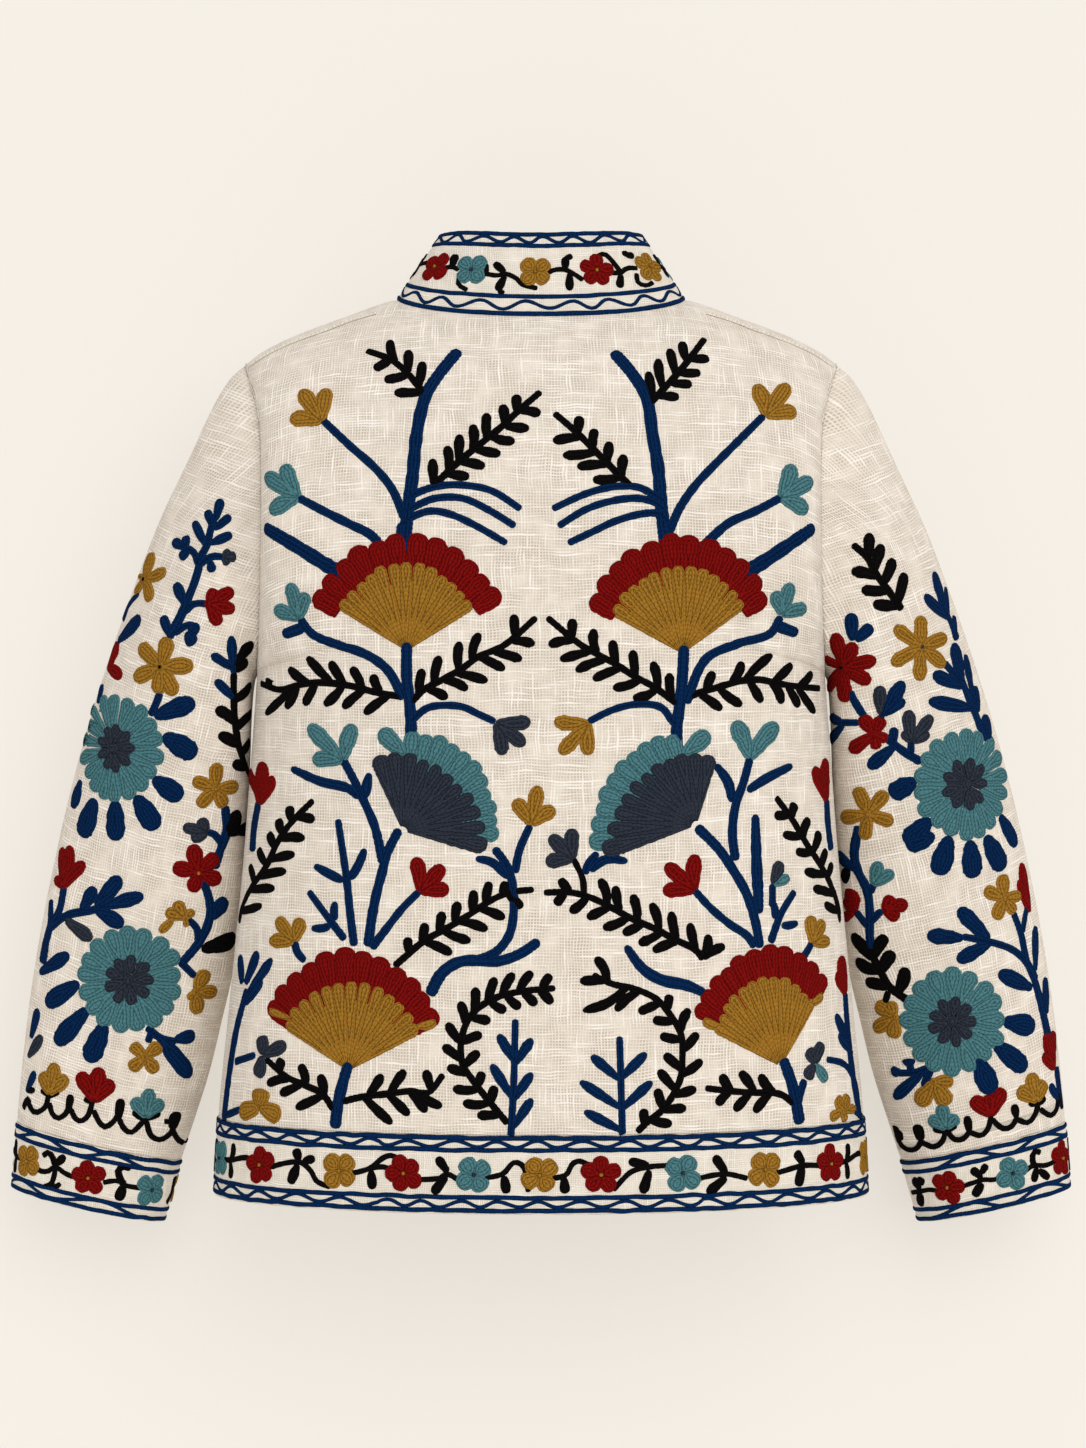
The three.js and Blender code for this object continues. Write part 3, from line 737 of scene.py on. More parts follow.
def petal_half(s, half, foot=0.36, widest=0.68):
    t = s / s[-1]
    body = foot + (1 - foot) * np.sin(np.pi / 2 * np.minimum(t / widest, 1))
    tip = np.sqrt(np.clip(1 - (np.maximum(t - widest, 0) / (1 - widest)) ** 2, 0, 1))
    start = np.minimum(s / (0.5 * half), 1)
    return half * body * tip * np.sqrt(1 - (1 - start) ** 2)


def wedge_half(s, first, radius, slope):
    """A petal of a fan: it widens from the fan's apex as far as its neighbours let it, to a round tip."""
    r = first + s / s[-1] * (radius - first)
    cap = radius * slope / (1 + slope)
    tip = np.sqrt(np.clip(cap**2 - np.maximum(r - radius + cap, 0) ** 2, 0, None))
    return np.minimum(r * slope, tip) * np.sqrt(1 - (1 - np.minimum(s / 1.5, 1)) ** 2)


def leaf_half(s, half):
    end = np.minimum(np.minimum(s, s[-1] - s) / half, 1)
    return half * (0.66 + 0.34 * np.sin(np.pi * (s / s[-1]) ** 0.8)) * np.sqrt(1 - (1 - end) ** 2)


print("half width of a stem", stem_half(np.array([0.0, 5.0, 10.0]), 2.5, 1.0))

# %% [markdown]
# The needle. It sews a stroke as a strip along a line on the cloth: the middle stands a millimetre or so
# high, and the rim sinks into the linen. The strip carries its own measure, the distance from its outline
# and the distance along it, so that the stitches can follow both. What is sewn on a piece is joined into
# one mesh for each colour of wool.

# %% Needle
from mathutils import Vector
from mathutils.bvhtree import BVHTree

ACROSS = np.array([-1, -0.86, -0.5, 0, 0.5, 0.86, 1])
SUNK = 0.35  # how far a stroke's rim sinks into the linen
BULGE_EVERY = 3.3  # a stroke swells and thins over this length
SWELL, UNEVEN = 0.045, 0.02  # how much it does so, evenly and by chance
NARROW = 3.2  # strokes with a smaller half width lie flat across
ROUNDNESS = 2.8  # a higher power makes a stroke's top flatter
chance = np.random.default_rng(11)


def corners_of(ids, up_first):
    """The four corners of every face of a net, from the numbers of its points."""
    one, two = ids[1:, :-1], ids[:-1, 1:]
    turn = [one, ids[1:, 1:], two] if up_first else [two, ids[1:, 1:], one]
    return np.stack([ids[:-1, :-1], *turn], axis=-1).reshape(-1, 4)


class Needle:
    """Sews strokes on one or more pieces of cloth. A place is laid on them by its view from the camera, or
    by the cloth's own measure where one is given."""

    def __init__(self, label, names, measure=None):
        points, faces, start = [], [], 0
        for name in names:
            net = laid[name]
            rows, columns = net.shape[:2]
            ids = start + np.arange(rows * columns).reshape(rows, columns)
            quads = corners_of(ids, False)
            flat, inside = net.reshape(-1, 3), np.broadcast_to(nets[name][1], net.shape).reshape(-1, 3)
            points.append(flat)
            one = flat[quads[:, 2] - start] - flat[quads[:, 0] - start]
            two = flat[quads[:, 3] - start] - flat[quads[:, 1] - start]
            away = np.sum(np.cross(one, two) * (flat - inside)[quads[:, 0] - start])
            faces.append(quads if away > 0 else quads[:, ::-1])
            start += rows * columns
        self.tree = BVHTree.FromPolygons(np.concatenate(points).tolist(), np.concatenate(faces).tolist())
        self.label, self.lay, self.sewn = label, measure or self.seen, {}
        self.by_view = measure is None

    def near(self, points):
        found = [self.tree.find_nearest(p) for p in np.asarray(points).tolist()]
        return np.array([f[0] for f in found]), np.array([f[1] for f in found])

    def seen(self, shown):
        eye = Vector(CAMERA)
        found = []
        for x, z in np.asarray(shown, float).tolist():
            hit = self.tree.ray_cast(eye, Vector((x, 0, z)) - eye)[0]
            found.append(hit if hit is not None else self.tree.find_nearest((x, 0, z))[0])
        return np.array(found)

    def flat(self, place):
        """A turn of the hand: the place on the cloth, its right and its up."""
        spot, normal = self.near(self.lay(np.asarray(place, float)[None]))
        up = np.array([0, 0, 1.0]) - normal[0] * normal[0][2]
        up /= np.linalg.norm(up)
        return spot[0], np.cross(normal[0], up) * -1.0, up

    def stroke(self, colour, path, halves, rise=1.0, lift=0.0):
        """A strip along a path of 3-D points; halves gives its half width by the distance along it."""
        middle, normals = self.near(path)
        s = run_length(middle)
        half = halves(s)
        wave = 1 + SWELL * np.sin(2 * np.pi * (s / BULGE_EVERY + chance.random()))
        wave = wave + UNEVEN * chance.standard_normal(len(s))
        half = half * wave * (1 + 0.3 / half.max())
        tangent = np.gradient(middle, axis=0)
        tangent /= np.maximum(np.linalg.norm(tangent, axis=1, keepdims=True), 1e-9)
        across = np.cross(normals, tangent)
        across /= np.maximum(np.linalg.norm(across, axis=1, keepdims=True), 1e-9)
        if self.by_view:
            half = half / np.clip(np.hypot(across[:, 0], across[:, 2]), 0.5, 1)
        spots = middle[:, None] + across[:, None] * (ACROSS[None, :, None] * half[:, None, None])
        if half.max() > NARROW:
            flat, turned = self.near(spots.reshape(-1, 3))
            spots, normals = flat.reshape(spots.shape), turned.reshape(spots.shape)
        else:
            normals = np.broadcast_to(normals[:, None], spots.shape)
        end = np.clip(half / (0.5 * half.max()), 0, 1) ** 0.6
        dome = (1 - np.abs(ACROSS) ** ROUNDNESS) ** 0.5
        height = -SUNK + (rise + lift + SUNK) * end[:, None] * dome[None]
        edge = half[:, None] * (1 - np.abs(ACROSS))[None]
        along_it = np.broadcast_to((s + 40 * chance.random())[:, None], edge.shape)
        spots = spots + normals * height[..., None]
        self.sewn.setdefault(colour, []).append((spots, np.stack([edge, along_it], axis=-1)))

    def join(self):
        """One mesh for each colour of wool, from everything sewn so far."""
        for colour, strips in sorted(self.sewn.items()):
            points = np.concatenate([spots.reshape(-1, 3) for spots, _ in strips]) * MM
            measure = np.concatenate([m.reshape(-1, 2) for _, m in strips])
            faces, start = [], 0
            for spots, _ in strips:
                rows, columns = spots.shape[:2]
                faces.append(corners_of(start + np.arange(rows * columns).reshape(rows, columns), True))
                start += rows * columns
            faces = np.concatenate(faces)
            mesh = bpy.data.meshes.new(f"wool_{colour}_{self.label}")
            mesh.from_pydata(points.tolist(), [], faces.tolist())
            mesh.uv_layers.new(name="stitch").data.foreach_set("uv", measure[faces.ravel()].ravel())
            mesh.polygons.foreach_set("use_smooth", [True] * len(faces))
            mesh.materials.append(wools[colour])
            piece = bpy.data.objects.new(mesh.name, mesh)
            bpy.context.scene.collection.objects.link(piece)
            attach(piece, "root")
            print(piece.name, len(strips), "strokes", len(faces) * 2, "triangles")


print("steps across a stroke", len(ACROSS))

# %% [markdown]
# The motifs. An embroiderer has a small stock of them: a stem, a leaf, a fern with pairs of leaflets, a
# tulip of two or three petals, a round flower, a fan and a rosette. Each one is a function that is given
# its places on the cloth and its sizes in millimetres, and that sews its strokes one by one, as by hand.

# %% Stems, leaves and petals
BLUE_STEM = 1.13  # the blue wool is a little thicker


def stem(cloth, colour, text, width, taper, rise=0.9):
    path = places(text) if isinstance(text, str) else np.asarray(text, float)
    if isinstance(text, str):
        width *= BLUE_STEM if colour == "blue" else 1.0
        ends = path[[0, -1]] - path[[1, -2]]
        ends *= 0.3 * width / np.linalg.norm(ends, axis=1, keepdims=True)
        path = np.concatenate([path[:1] + ends[:1], path[1:-1], path[-1:] + ends[1:]])
    path = cloth.lay(strokes_path(path))
    cloth.stroke(colour, path, lambda s: stem_half(s, width / 2, taper), rise)


def leaf(cloth, colour, text, width):
    path = cloth.lay(strokes_path(places(text)))
    cloth.stroke(colour, path, lambda s: leaf_half(s, width / 2), 1.0, 0.1)


def petal(cloth, colour, base, tip, width, bend=0.0, rise=1.2, lift=0.2, foot=0.36):
    base, tip = np.asarray(base, float), np.asarray(tip, float)
    side = np.array([-(tip - base)[1], (tip - base)[0]])
    path = np.stack([base, (base + tip) / 2 + side * bend, tip])
    path = cloth.lay(strokes_path(path, 1.5))
    cloth.stroke(colour, path, lambda s: petal_half(s, 0.55 * width, foot), rise, lift)


def tulip(cloth, colour, base, tips, width):
    base, tips = places(base)[0], places(tips)
    middle = tips.mean(axis=0) - base
    for tip in tips:
        way = tip - base
        side = way[0] * middle[1] - way[1] * middle[0]
        bend = 0.05 * np.sign(side) if abs(side) > 0.15 * np.dot(way, way) else 0.0
        length = np.linalg.norm(way)
        petal(cloth, colour, base, tip, min(width, 0.52 * length + 2), bend)


def fern(cloth, colour, spine, tips, width, spine_width, reach=0.85):
    """Leaflets grow from the spine to each tip; their feet lie nearer the spine's start."""
    line = smooth(places(spine), 1.0)
    run = run_length(line)
    stem(cloth, colour, spine, 1.25 * spine_width, 0.9, 0.8)
    for tip in places(tips):
        away = np.linalg.norm(line - tip, axis=1)
        nearest = int(away.argmin())
        foot = max(run[nearest] - reach * away[nearest], 0.0)
        foot = line[min(int(np.searchsorted(run, foot)), len(line) - 1)]
        petal(cloth, colour, foot, tip, 1.26 * width, 0.04 * chance.standard_normal(), 0.95, 0.0, 0.62)


print("blue stems are", BLUE_STEM, "times as wide as noted")

# %% [markdown]
# The round motifs: a flower on a band, a bloom whose petals each have their own place, a fan and a rosette.
# Their petals are sewn from the middle out. On all but the fan, a dot of wool covers the place where they
# meet.

# %% Round motifs
def flower(cloth, colour, centre, radius, count, turn, width, inner=0.04):
    """A round flower: petals from near the middle, true on the cloth wherever it lies."""
    spot, right, up = cloth.flat(centre)
    for k in range(count):
        angle = math.radians(turn + 360 * k / count + 3 * chance.standard_normal())
        way = math.sin(angle) * right + math.cos(angle) * up
        size = radius * (1 + 0.04 * chance.standard_normal())
        path = strokes_path(np.stack([spot + way * inner * radius, spot + way * size]), 1.4)
        cloth.stroke(colour, path, lambda s: petal_half(s, width / 2, 0.42, 0.56), 1.2, 0.25)


def dot(cloth, colour, spot, radius, lift=0.9):
    path = strokes_path(np.stack([spot - [0, 0, radius], spot + [0, 0, radius]]), 1.0)
    cloth.stroke(colour, path, lambda s: np.sqrt(np.clip(s * (s[-1] - s), 0, None)), 0.9, lift)


def fan(cloth, apex, layers):
    """Layers of petals spread from one place. A layer: colour, count, inner share, lift, and its outline as
    angle,radius pairs, in degrees from straight up and millimetres on the view."""
    apex = places(apex)[0]
    for colour, count, inner, lift, outline in layers:
        outline = places(outline)
        angles = np.linspace(outline[0, 0], outline[-1, 0], count)
        radii = along(outline, angles) if len(outline) > 1 else outline[0, 1]
        pitch = abs(angles[1] - angles[0]) if count > 1 else 20
        for k, (angle, radius) in enumerate(zip(angles, radii)):
            first = inner + (0.13 if k in (0, count - 1) and inner > 0.4 else 0)
            radius *= 1 + 0.012 * chance.standard_normal()
            turn = math.radians(angle + 0.35 * chance.standard_normal())
            way = np.array([math.sin(turn), math.cos(turn)])
            slope = 1.26 * math.tan(math.radians(pitch / 2))
            ends = np.stack([apex + way * radius * first, apex + way * radius])
            path = cloth.lay(strokes_path(ends, 1.5))
            cloth.stroke(colour, path, lambda s: wedge_half(s, first * radius, radius, slope), 1.15, lift)


def bloom(cloth, colour, centre, tips, width, heart):
    """A flower whose petals each have their own place."""
    centre, tips = places(centre)[0], places(tips)
    for tip in tips:
        length = np.linalg.norm(tip - centre)
        petal(cloth, colour, centre, tip, min(width, 0.66 * length), 0.0, 1.2, 0.25, 0.44)
    spot = cloth.near(cloth.lay(centre[None]))[0][0]
    dot(cloth, colour, spot, 3.2 if heart else 2.6, 1.1)
    if heart:
        dot(cloth, heart, spot, 1.5, 1.5)


def rosette(cloth, centre, text, count, heart):
    """Two rings of petals. The text gives how far it reaches to the left, to the right and up and down."""
    centre = places(centre)[0]
    to_left, to_right, tall = (float(n) for n in text.split(","))

    def rim(angle, share):
        across = math.sin(angle) * (to_left if math.sin(angle) < 0 else to_right)
        return np.array([across, math.cos(angle) * tall]) * share

    rings = (("teal", 0.3, 1.0, count, 0.2), ("slate", 0.07, heart, 9, 0.75))
    for colour, inner, outer, ring_count, lift in rings:
        half_turn = math.pi / ring_count
        for k in range(ring_count):
            angle = 2 * half_turn * (k + 0.25 * (colour == "slate")) + 0.015 * chance.standard_normal()
            way = rim(angle, outer * (1 + 0.02 * chance.standard_normal()))
            reach = np.linalg.norm(way)
            pitch = np.linalg.norm(rim(angle + half_turn, outer) - rim(angle - half_turn, outer))
            slope = 0.58 * pitch / reach
            path = cloth.lay(strokes_path(np.stack([centre + inner * way / outer, centre + way]), 1.5))
            first = reach * inner / outer
            cloth.stroke(colour, path, lambda s: wedge_half(s, first, reach, slope), 1.15, lift)
    dot(cloth, "slate", cloth.near(cloth.lay(centre[None]))[0][0], 0.1 * tall, 1.3)


print("flowers, fans, blooms and rosettes can be sewn")

# %% [markdown]
# A pattern is written as tables in plain text, as an embroiderer would note it: one row for a stroke or a
# flower, with its colour and sizes first and its places after. Semicolons part the rows. The tables below
# are sewn row by row, in the order in which they stand.

# %% Pattern tables
def table(text):
    """The rows of a table, each as a list of words."""
    return [row.split() for row in text.split(";")]


def stems(cloth, colour, text, rise=0.9):
    """Rows of width, taper and places."""
    for width, taper, *path in table(text):
        stem(cloth, colour, " ".join(path), float(width), float(taper), rise)


def leaves(cloth, colour, text):
    """Rows of width and places."""
    for width, *path in table(text):
        leaf(cloth, colour, " ".join(path), float(width))


def petals(cloth, text, rise=1.2, lift=0.2, foot=0.36):
    """Rows of colour, width, root and tip."""
    for colour, width, root, tip in table(text):
        petal(cloth, colour, *places(f"{root} {tip}"), float(width), 0.0, rise, lift, foot)


def tulips(cloth, text):
    """Rows of colour, width, base and tips."""
    for colour, width, base, *tips in table(text):
        tulip(cloth, colour, base, " ".join(tips), float(width))


def ferns(cloth, text):
    """Rows of width, the spine's width, the spine's places, a slash and the leaflets' tips."""
    for width, spine_width, *rest in table(text):
        spine, tips = " ".join(rest).split(" / ")
        fern(cloth, "black", spine, tips, float(width), float(spine_width))


def blooms(cloth, text):
    """Rows of colour, the heart's colour or none, width, centre and tips."""
    for colour, heart, width, centre, *tips in table(text):
        bloom(cloth, colour, centre, " ".join(tips), float(width), None if heart == "none" else heart)


print(len(table("5 0.9 0,0 0,10; 5 0.9 0,10 10,10")), "rows in a small table")

# %% [markdown]
# The wool's finish. The rows of stitches are about 2.4 mm wide and lie one inside the other, from the
# outline in. Each stitch is a small V, so the height rises and falls along a row too, with painted shade
# in the dips between stitches, and loose fibres blur them. The grooves between rows are darker with
# painted shade, as little light gets in.

# %% Wool shader
ROW, STITCH = 2.4, 3.1  # millimetres


def stitch_group():
    group = Group("chain stitch", [("Measure", "Vector", None), ("Wool", "Color", (0.5, 0.1, 0.1, 1))])
    maths, given = group.maths, group.given
    place = group.tree.nodes.new("ShaderNodeTexCoord").outputs["Object"]
    edge, run = group.split(given["Measure"])[:2]
    slow = group.noise(place, 330.0, 2.0)
    sway = maths("MULTIPLY", maths("SUBTRACT", slow, 0.5), 1.3)
    row = maths("DIVIDE", maths("ADD", edge, sway), ROW)
    off = maths("MULTIPLY", maths("SUBTRACT", maths("FRACT", row), 0.5), 2.0)
    groove = maths("POWER", maths("ABSOLUTE", off), 3.0)
    step = maths("ADD", maths("DIVIDE", run, STITCH), maths("MULTIPLY", maths("ABSOLUTE", off), 0.45))
    step = maths("ADD", step, maths("MULTIPLY", slow, 0.8))
    loop = maths("ABSOLUTE", maths("SUBTRACT", maths("FRACT", step), 0.5))
    loop = maths("POWER", maths("MULTIPLY", loop, 2.0), 4.0)
    fibre = group.noise(place, 1500.0, 4.0)
    # Painted shade: the grooves between rows and the dips between stitches are darkened in the colour.
    stitch_shade = maths("ADD", maths("MULTIPLY", groove, 0.62), maths("MULTIPLY", loop, 0.34))
    light_fibre = maths("ADD", 0.72, maths("MULTIPLY", fibre, 0.56))
    tone = maths("MULTIPLY", maths("SUBTRACT", 1.0, stitch_shade), light_fibre)
    height = maths("SUBTRACT", 1.0, maths("ADD", groove, maths("MULTIPLY", loop, 0.5)))
    height = maths("ADD", height, maths("MULTIPLY", fibre, 0.6))
    group.give(group.shaded(given["Wool"], tone), height)


stitch_group()
wools = {
    colour: group_material(
        f"{colour}_wool", "chain stitch", "stitch", {"Wool": (*value, 1)}, 0.85, 0.0005,
        Roughness=1.0, Specular_IOR_Level=0.03,
    )
    for colour, value in {
        "blue": (0.0022, 0.019, 0.076), "black": (0.004, 0.0035, 0.0035), "red": (0.19, 0.0045, 0.004),
        "gold": (0.33, 0.16, 0.02), "teal": (0.068, 0.19, 0.215), "seam": (0.86, 0.79, 0.7),
        # painted shade: the dark colour of the strip in the shoulder seam's groove
        "groove": (0.4, 0.32, 0.24), "slate": (0.027, 0.034, 0.05),
    }.items()
}
print(len(wools), "colours of wool")

# %% [markdown]
# The seams that show. The shoulder seam lies a little behind the shoulder's crest, so a fine groove runs
# below the outline, drawn as a thin, nearly flat dark strip of painted shade. The sleeve's cap is eased
# into the armhole, and its allowance stands as a soft ridge.

# %% Seams
seams = Needle("seams", ["back"])
for text in (
    "-205,-48 -195,-41 -186,-36 -170,-29 -150,-22 -132,-15 -115,-10",
    "205,-48 195,-41 186,-36 170,-29 150,-22 132,-15 115,-10",
):
    # A thin, nearly flat dark strip: painted shade in the shoulder seam's groove.
    stem(seams, "groove", text, 0.7, 1.0, 0.05)
    stem(seams, "seam", [spot + np.array([0, 1.4]) for spot in places(text)], 1.5, 1.0, 0.35)
for text in ("-206,-52 -202,-62 -199,-73 -197,-84", "206,-52 202,-62 199,-73 197,-84"):
    stem(seams, "seam", text, 2.0, 1.0, 0.6)
seams.join()

# %% [markdown]
# The back's pattern, from the shoulders down. Two tall plants stand side by side and nearly mirror each
# other, but no hand repeats itself, so every stem has its own places. A place is x,z in millimetres on the
# view from behind: x to the right of the neck, z down from it.

# %% The upper back
back = Needle("back", ["back", "front_left", "front_right"])
stems(back, "blue", """
    8.2 0.9 -96,-175 -93,-146 -90,-124 -87,-94 -81,-68 -72,-53 -59,-37;
    5.4 0.85 -96,-152 -104,-133 -116,-118 -134,-102 -153,-84;
    5.8 0.85 -114,-170 -120,-164 -134,-157 -152,-148 -169,-139;
    9.5 0.8 -137,-193 -148,-187 -169,-174 -191,-161;
    4.6 0.9 -95,-140 -84,-134 -69,-130 -52,-130 -34,-134 -15,-146;
    4.6 0.9 -95,-148 -87,-144 -74,-139 -55,-139 -37,-147 -19,-158;
    4.6 0.9 -97,-157 -90,-152 -78,-148 -64,-150 -46,-158 -25,-170;
    7.6 1 -97,-158 -97,-192;
    6 0.85 -97,-278 -106,-261 -116,-252 -128,-246 -144,-241 -160,-234 -168,-224;
    7 0.9 -168,-230 -179,-234;
    8.2 0.9 88,-179 84,-142 82,-118 78,-94 74,-69 64,-52 52,-38;
    5.4 0.85 90,-162 97,-146 108,-130 122,-115 140,-97 155,-82;
    5.8 0.85 114,-172 119,-167 132,-156 150,-148 167,-139;
    9.5 0.8 140,-192 150,-187 170,-174 189,-161;
    4.6 0.9 86,-141 78,-136 67,-131 50,-131 31,-136 9,-146;
    4.6 0.9 86,-147 80,-142 67,-139 49,-141 31,-147 13,-158;
    4.6 0.9 88,-155 83,-150 70,-150 52,-155 37,-162 20,-170;
    7.6 1 87,-158 91,-196;
    6 0.85 102,-281 115,-252 137,-241 160,-234 167,-223;
    7 0.9 167,-229 178,-233;
    7.2 0.95 -92,-319 -91,-300 -92,-282 -94,-265 -94,-242;
    7.2 0.95 96,-319 95,-302 97,-284 99,-264 100,-244
""")
ferns(back, """
    5.2 4 -80,-68 -93,-52 -105,-42 -121,-36 / -106,-28 -93,-35 -83,-43 -117,-49 -110,-56 -103,-65;
    5.2 4 -75,-130 -56,-112 -29,-90 -15,-77 -1,-65 / -76,-111 -66,-102 -57,-94 -48,-87 -38,-79 -27,-73
        -17,-66 -50,-124 -39,-117 -28,-108 -18,-99 -8,-90 0,-80;
    5 4 76,-73 97,-50 114,-28 / 75,-50 82,-41 90,-34 99,-29 97,-68 106,-59 112,-51 118,-41;
    5.2 4 62,-130 41,-109 24,-92 10,-80 / 27,-81 38,-90 48,-99 58,-108 8,-99 15,-109 25,-117 36,-126
""")
tulips(back, """
    gold 11 -153,-86 -168,-63 -150,-62 -176,-83;
    teal 11 -169,-139 -180,-115 -193,-123 -190,-148;
    teal 9.5 -169,-224 -176,-198 -164,-205 -187,-217;
    gold 11 157,-82 151,-59 173,-59 179,-78;
    teal 11 167,-139 176,-115 190,-126 187,-148;
    teal 9.5 168,-221 163,-204 175,-198 186,-216
""")
fan(back, "-94,-246", [
    ("red", 12, 0.58, 0.1, "-58,77 -40,80 0,83.5 40,79 58,77"),
    ("gold", 13, 0.04, 0.6, "-53,57 -25,60 0,62 25,60 53,56"),
])
fan(back, "99,-248", [
    ("red", 12, 0.58, 0.1, "-58,76 -35,81 0,84 30,80 55,72"),
    ("gold", 13, 0.04, 0.6, "-55,59 -25,61 0,63 25,60 49,56"),
])

# %% [markdown]
# The middle of the back. Two dark fans lean in toward each other here, each before a pale one. Long black
# ferns reach to the sides, and lower down they sweep in toward the middle. Small tulips end the thin stems.

# %% The middle of the back
stems(back, "blue", """
    4.6 0.9 -91,-295 -90,-294 -80,-286 -69,-284 -55,-285 -44,-290 -33,-295;
    4.6 0.9 95,-297 92,-295 85,-286 74,-283 61,-284 48,-288 34,-295;
    5.8 0.85 -111,-393 -116,-370 -123,-353 -130,-338 -138,-323;
    5.8 0.85 136,-391 134,-374 136,-355 142,-337 146,-322;
    6.2 0.9 -121,-451 -118,-430 -115,-415 -111,-400 -108,-388 -100,-372;
    6.2 0.9 110,-370 124,-384 135,-400 144,-416 150,-435 153,-452;
    5.6 0.9 -44,-462 -31,-456 -22,-444 -19,-426 -20,-409 -24,-396 -32,-385;
    7.6 0.8 -77,-485 -69,-471 -55,-463 -30,-463 -15,-458 -3,-450;
    5 0.9 -18,-400 -15,-385 -8,-369;
    5.2 0.85 -118,-453 -108,-440 -97,-426 -86,-415;
    5.2 0.85 149,-452 144,-445 132,-437 119,-426 108,-414;
    5.2 0.8 -131,-451 -134,-426 -136,-406 -139,-385 -142,-365;
    4.8 0.85 -138,-447 -148,-434 -162,-415;
    5 0.9 -202,-385 -201,-370 -198,-353;
    5 0.9 203,-384 201,-368 200,-351;
    5 0.9 -166,-462 -171,-456 -172,-450;
    5 0.9 183,-461 187,-455 189,-451;
    4.8 0.85 161,-449 168,-430 177,-415;
    4.8 0.85 31,-401 34,-393 39,-388;
    4.6 0.9 162,-424 162,-410
""")
stems(back, "black", "4.4 0.9 30,-415 29,-405 23,-392")
leaves(back, "blue", """
    7 -127,-349 -135,-342 -155,-337 -175,-328;
    7 -123,-349 -122,-340 -120,-331;
    6.5 -22,-405 -34,-394 -46,-391;
    6.5 -138,-407 -148,-402 -159,-396;
    6.5 -134,-406 -128,-396 -123,-384;
    6 -144,-435 -145,-428 -144,-421;
    6 -147,-438 -153,-440 -161,-440;
    7 134,-352 131,-338 122,-325;
    7 144,-344 158,-335 176,-326;
    8 153,-430 151,-396 150,-360;
    6.5 34,-400 45,-392 61,-393;
    6 164,-434 164,-428 162,-421;
    6 168,-438 174,-438 180,-436
""")
ferns(back, """
    5 3.8 -97,-278 -115,-275 -135,-270 -156,-268 -171,-270 -183,-273 -195,-269 / -164,-250 -177,-258
        -148,-253 -133,-257 -118,-262 -190,-265 -193,-290 -179,-286 -166,-284 -152,-284 -139,-286
        -124,-290;
    5 3.8 -90,-281 -82,-273 -69,-266 -55,-258 -44,-250 -26,-242 -4,-223 / -83,-258 -71,-249 -57,-239
        -43,-233 -19,-220 -65,-279 -51,-273 -37,-267 -25,-259 -13,-252 -4,-241;
    5 3.8 94,-282 79,-271 66,-264 52,-255 39,-248 27,-241 5,-223 / 64,-279 50,-272 36,-266 24,-260 13,-252
        5,-242 90,-261 78,-253 64,-245 50,-238 37,-230 22,-223;
    5 3.8 102,-279 111,-275 125,-271 139,-267 153,-266 168,-269 182,-271 194,-272 / 121,-260 141,-253
        162,-248 176,-255 190,-261 127,-287 141,-284 155,-282 169,-283 181,-285 192,-289;
    5 3.8 -211,-434 -209,-425 -203,-412 -192,-396 -184,-379 -174,-365 -160,-351 / -176,-354 -184,-363
        -191,-373 -198,-384 -204,-396 -158,-364 -165,-377 -172,-388 -178,-400 -186,-412 -195,-424;
    5 3.8 209,-430 205,-415 197,-398 186,-381 176,-364 165,-349 / 178,-352 188,-363 195,-372 200,-385
        204,-395 163,-361 169,-374 178,-386 184,-400 190,-412 198,-423 208,-434;
    5 3.8 -102,-466 -94,-459 -82,-449 -66,-440 -51,-431 -36,-421 -22,-415 -6,-413 / -93,-446 -81,-436
        -69,-428 -58,-421 -47,-413 -36,-407 -24,-407 -62,-458 -49,-449 -37,-441 -25,-433 -13,-426;
    5 3.8 113,-461 108,-455 94,-448 79,-440 65,-434 50,-426 36,-419 21,-415 3,-415 / 13,-405 41,-405
        52,-410 64,-416 77,-422 91,-428 104,-436 117,-444 129,-452 10,-424 20,-429 32,-433 43,-440 57,-444
        68,-451 78,-456
""")
tulips(back, """
    slate 9.5 -32,-296 -7,-295 -11,-312 -27,-319;
    gold 9.5 34,-296 9,-295 13,-318 33,-319;
    teal 11 -138,-323 -163,-298 -131,-297 -160,-322;
    teal 12 146,-322 135,-295 166,-297;
    gold 10 -7,-368 -2,-340 -19,-350 10,-356;
    red 10 -85,-415 -88,-390 -68,-396 -64,-413;
    red 10 108,-414 108,-388 87,-395 85,-414;
    red 10 -197,-353 -195,-323 -204,-332 -186,-335;
    red 10 200,-351 200,-322 190,-328;
    gold 9.5 -172,-450 -185,-433 -167,-433 -190,-449;
    gold 9 189,-451 188,-431 198,-435 202,-449;
    slate 9.5 23,-392 6,-375 22,-370 3,-394;
    slate 8 162,-410 168,-393;
    teal 7 162,-410 174,-404
""")
fan(back, "-97,-372", [
    ("teal", 11, 0.62, 0.1, "6,70 30,71 60,70 92,68"),
    ("slate", 11, 0.05, 0.6, "-17,56 10,54 45,53 75,56 99,61"),
])
petals(back, "teal 12 -95,-319 -113,-301")
fan(back, "109,-368", [
    ("teal", 10, 0.62, 0.1, "-99,76 -70,72 -40,69 -16,68"),
    ("slate", 11, 0.05, 0.6, "-104,68 -75,58 -46,53 -18,52 10,51"),
])
petals(back, "teal 12 99,-319 118,-303")

# %% [markdown]
# The lower back. A wide fan stands low on each plant. Between them two small blue plants rise from the hem
# band's seam, and a black fern curls up on the outer side of each.

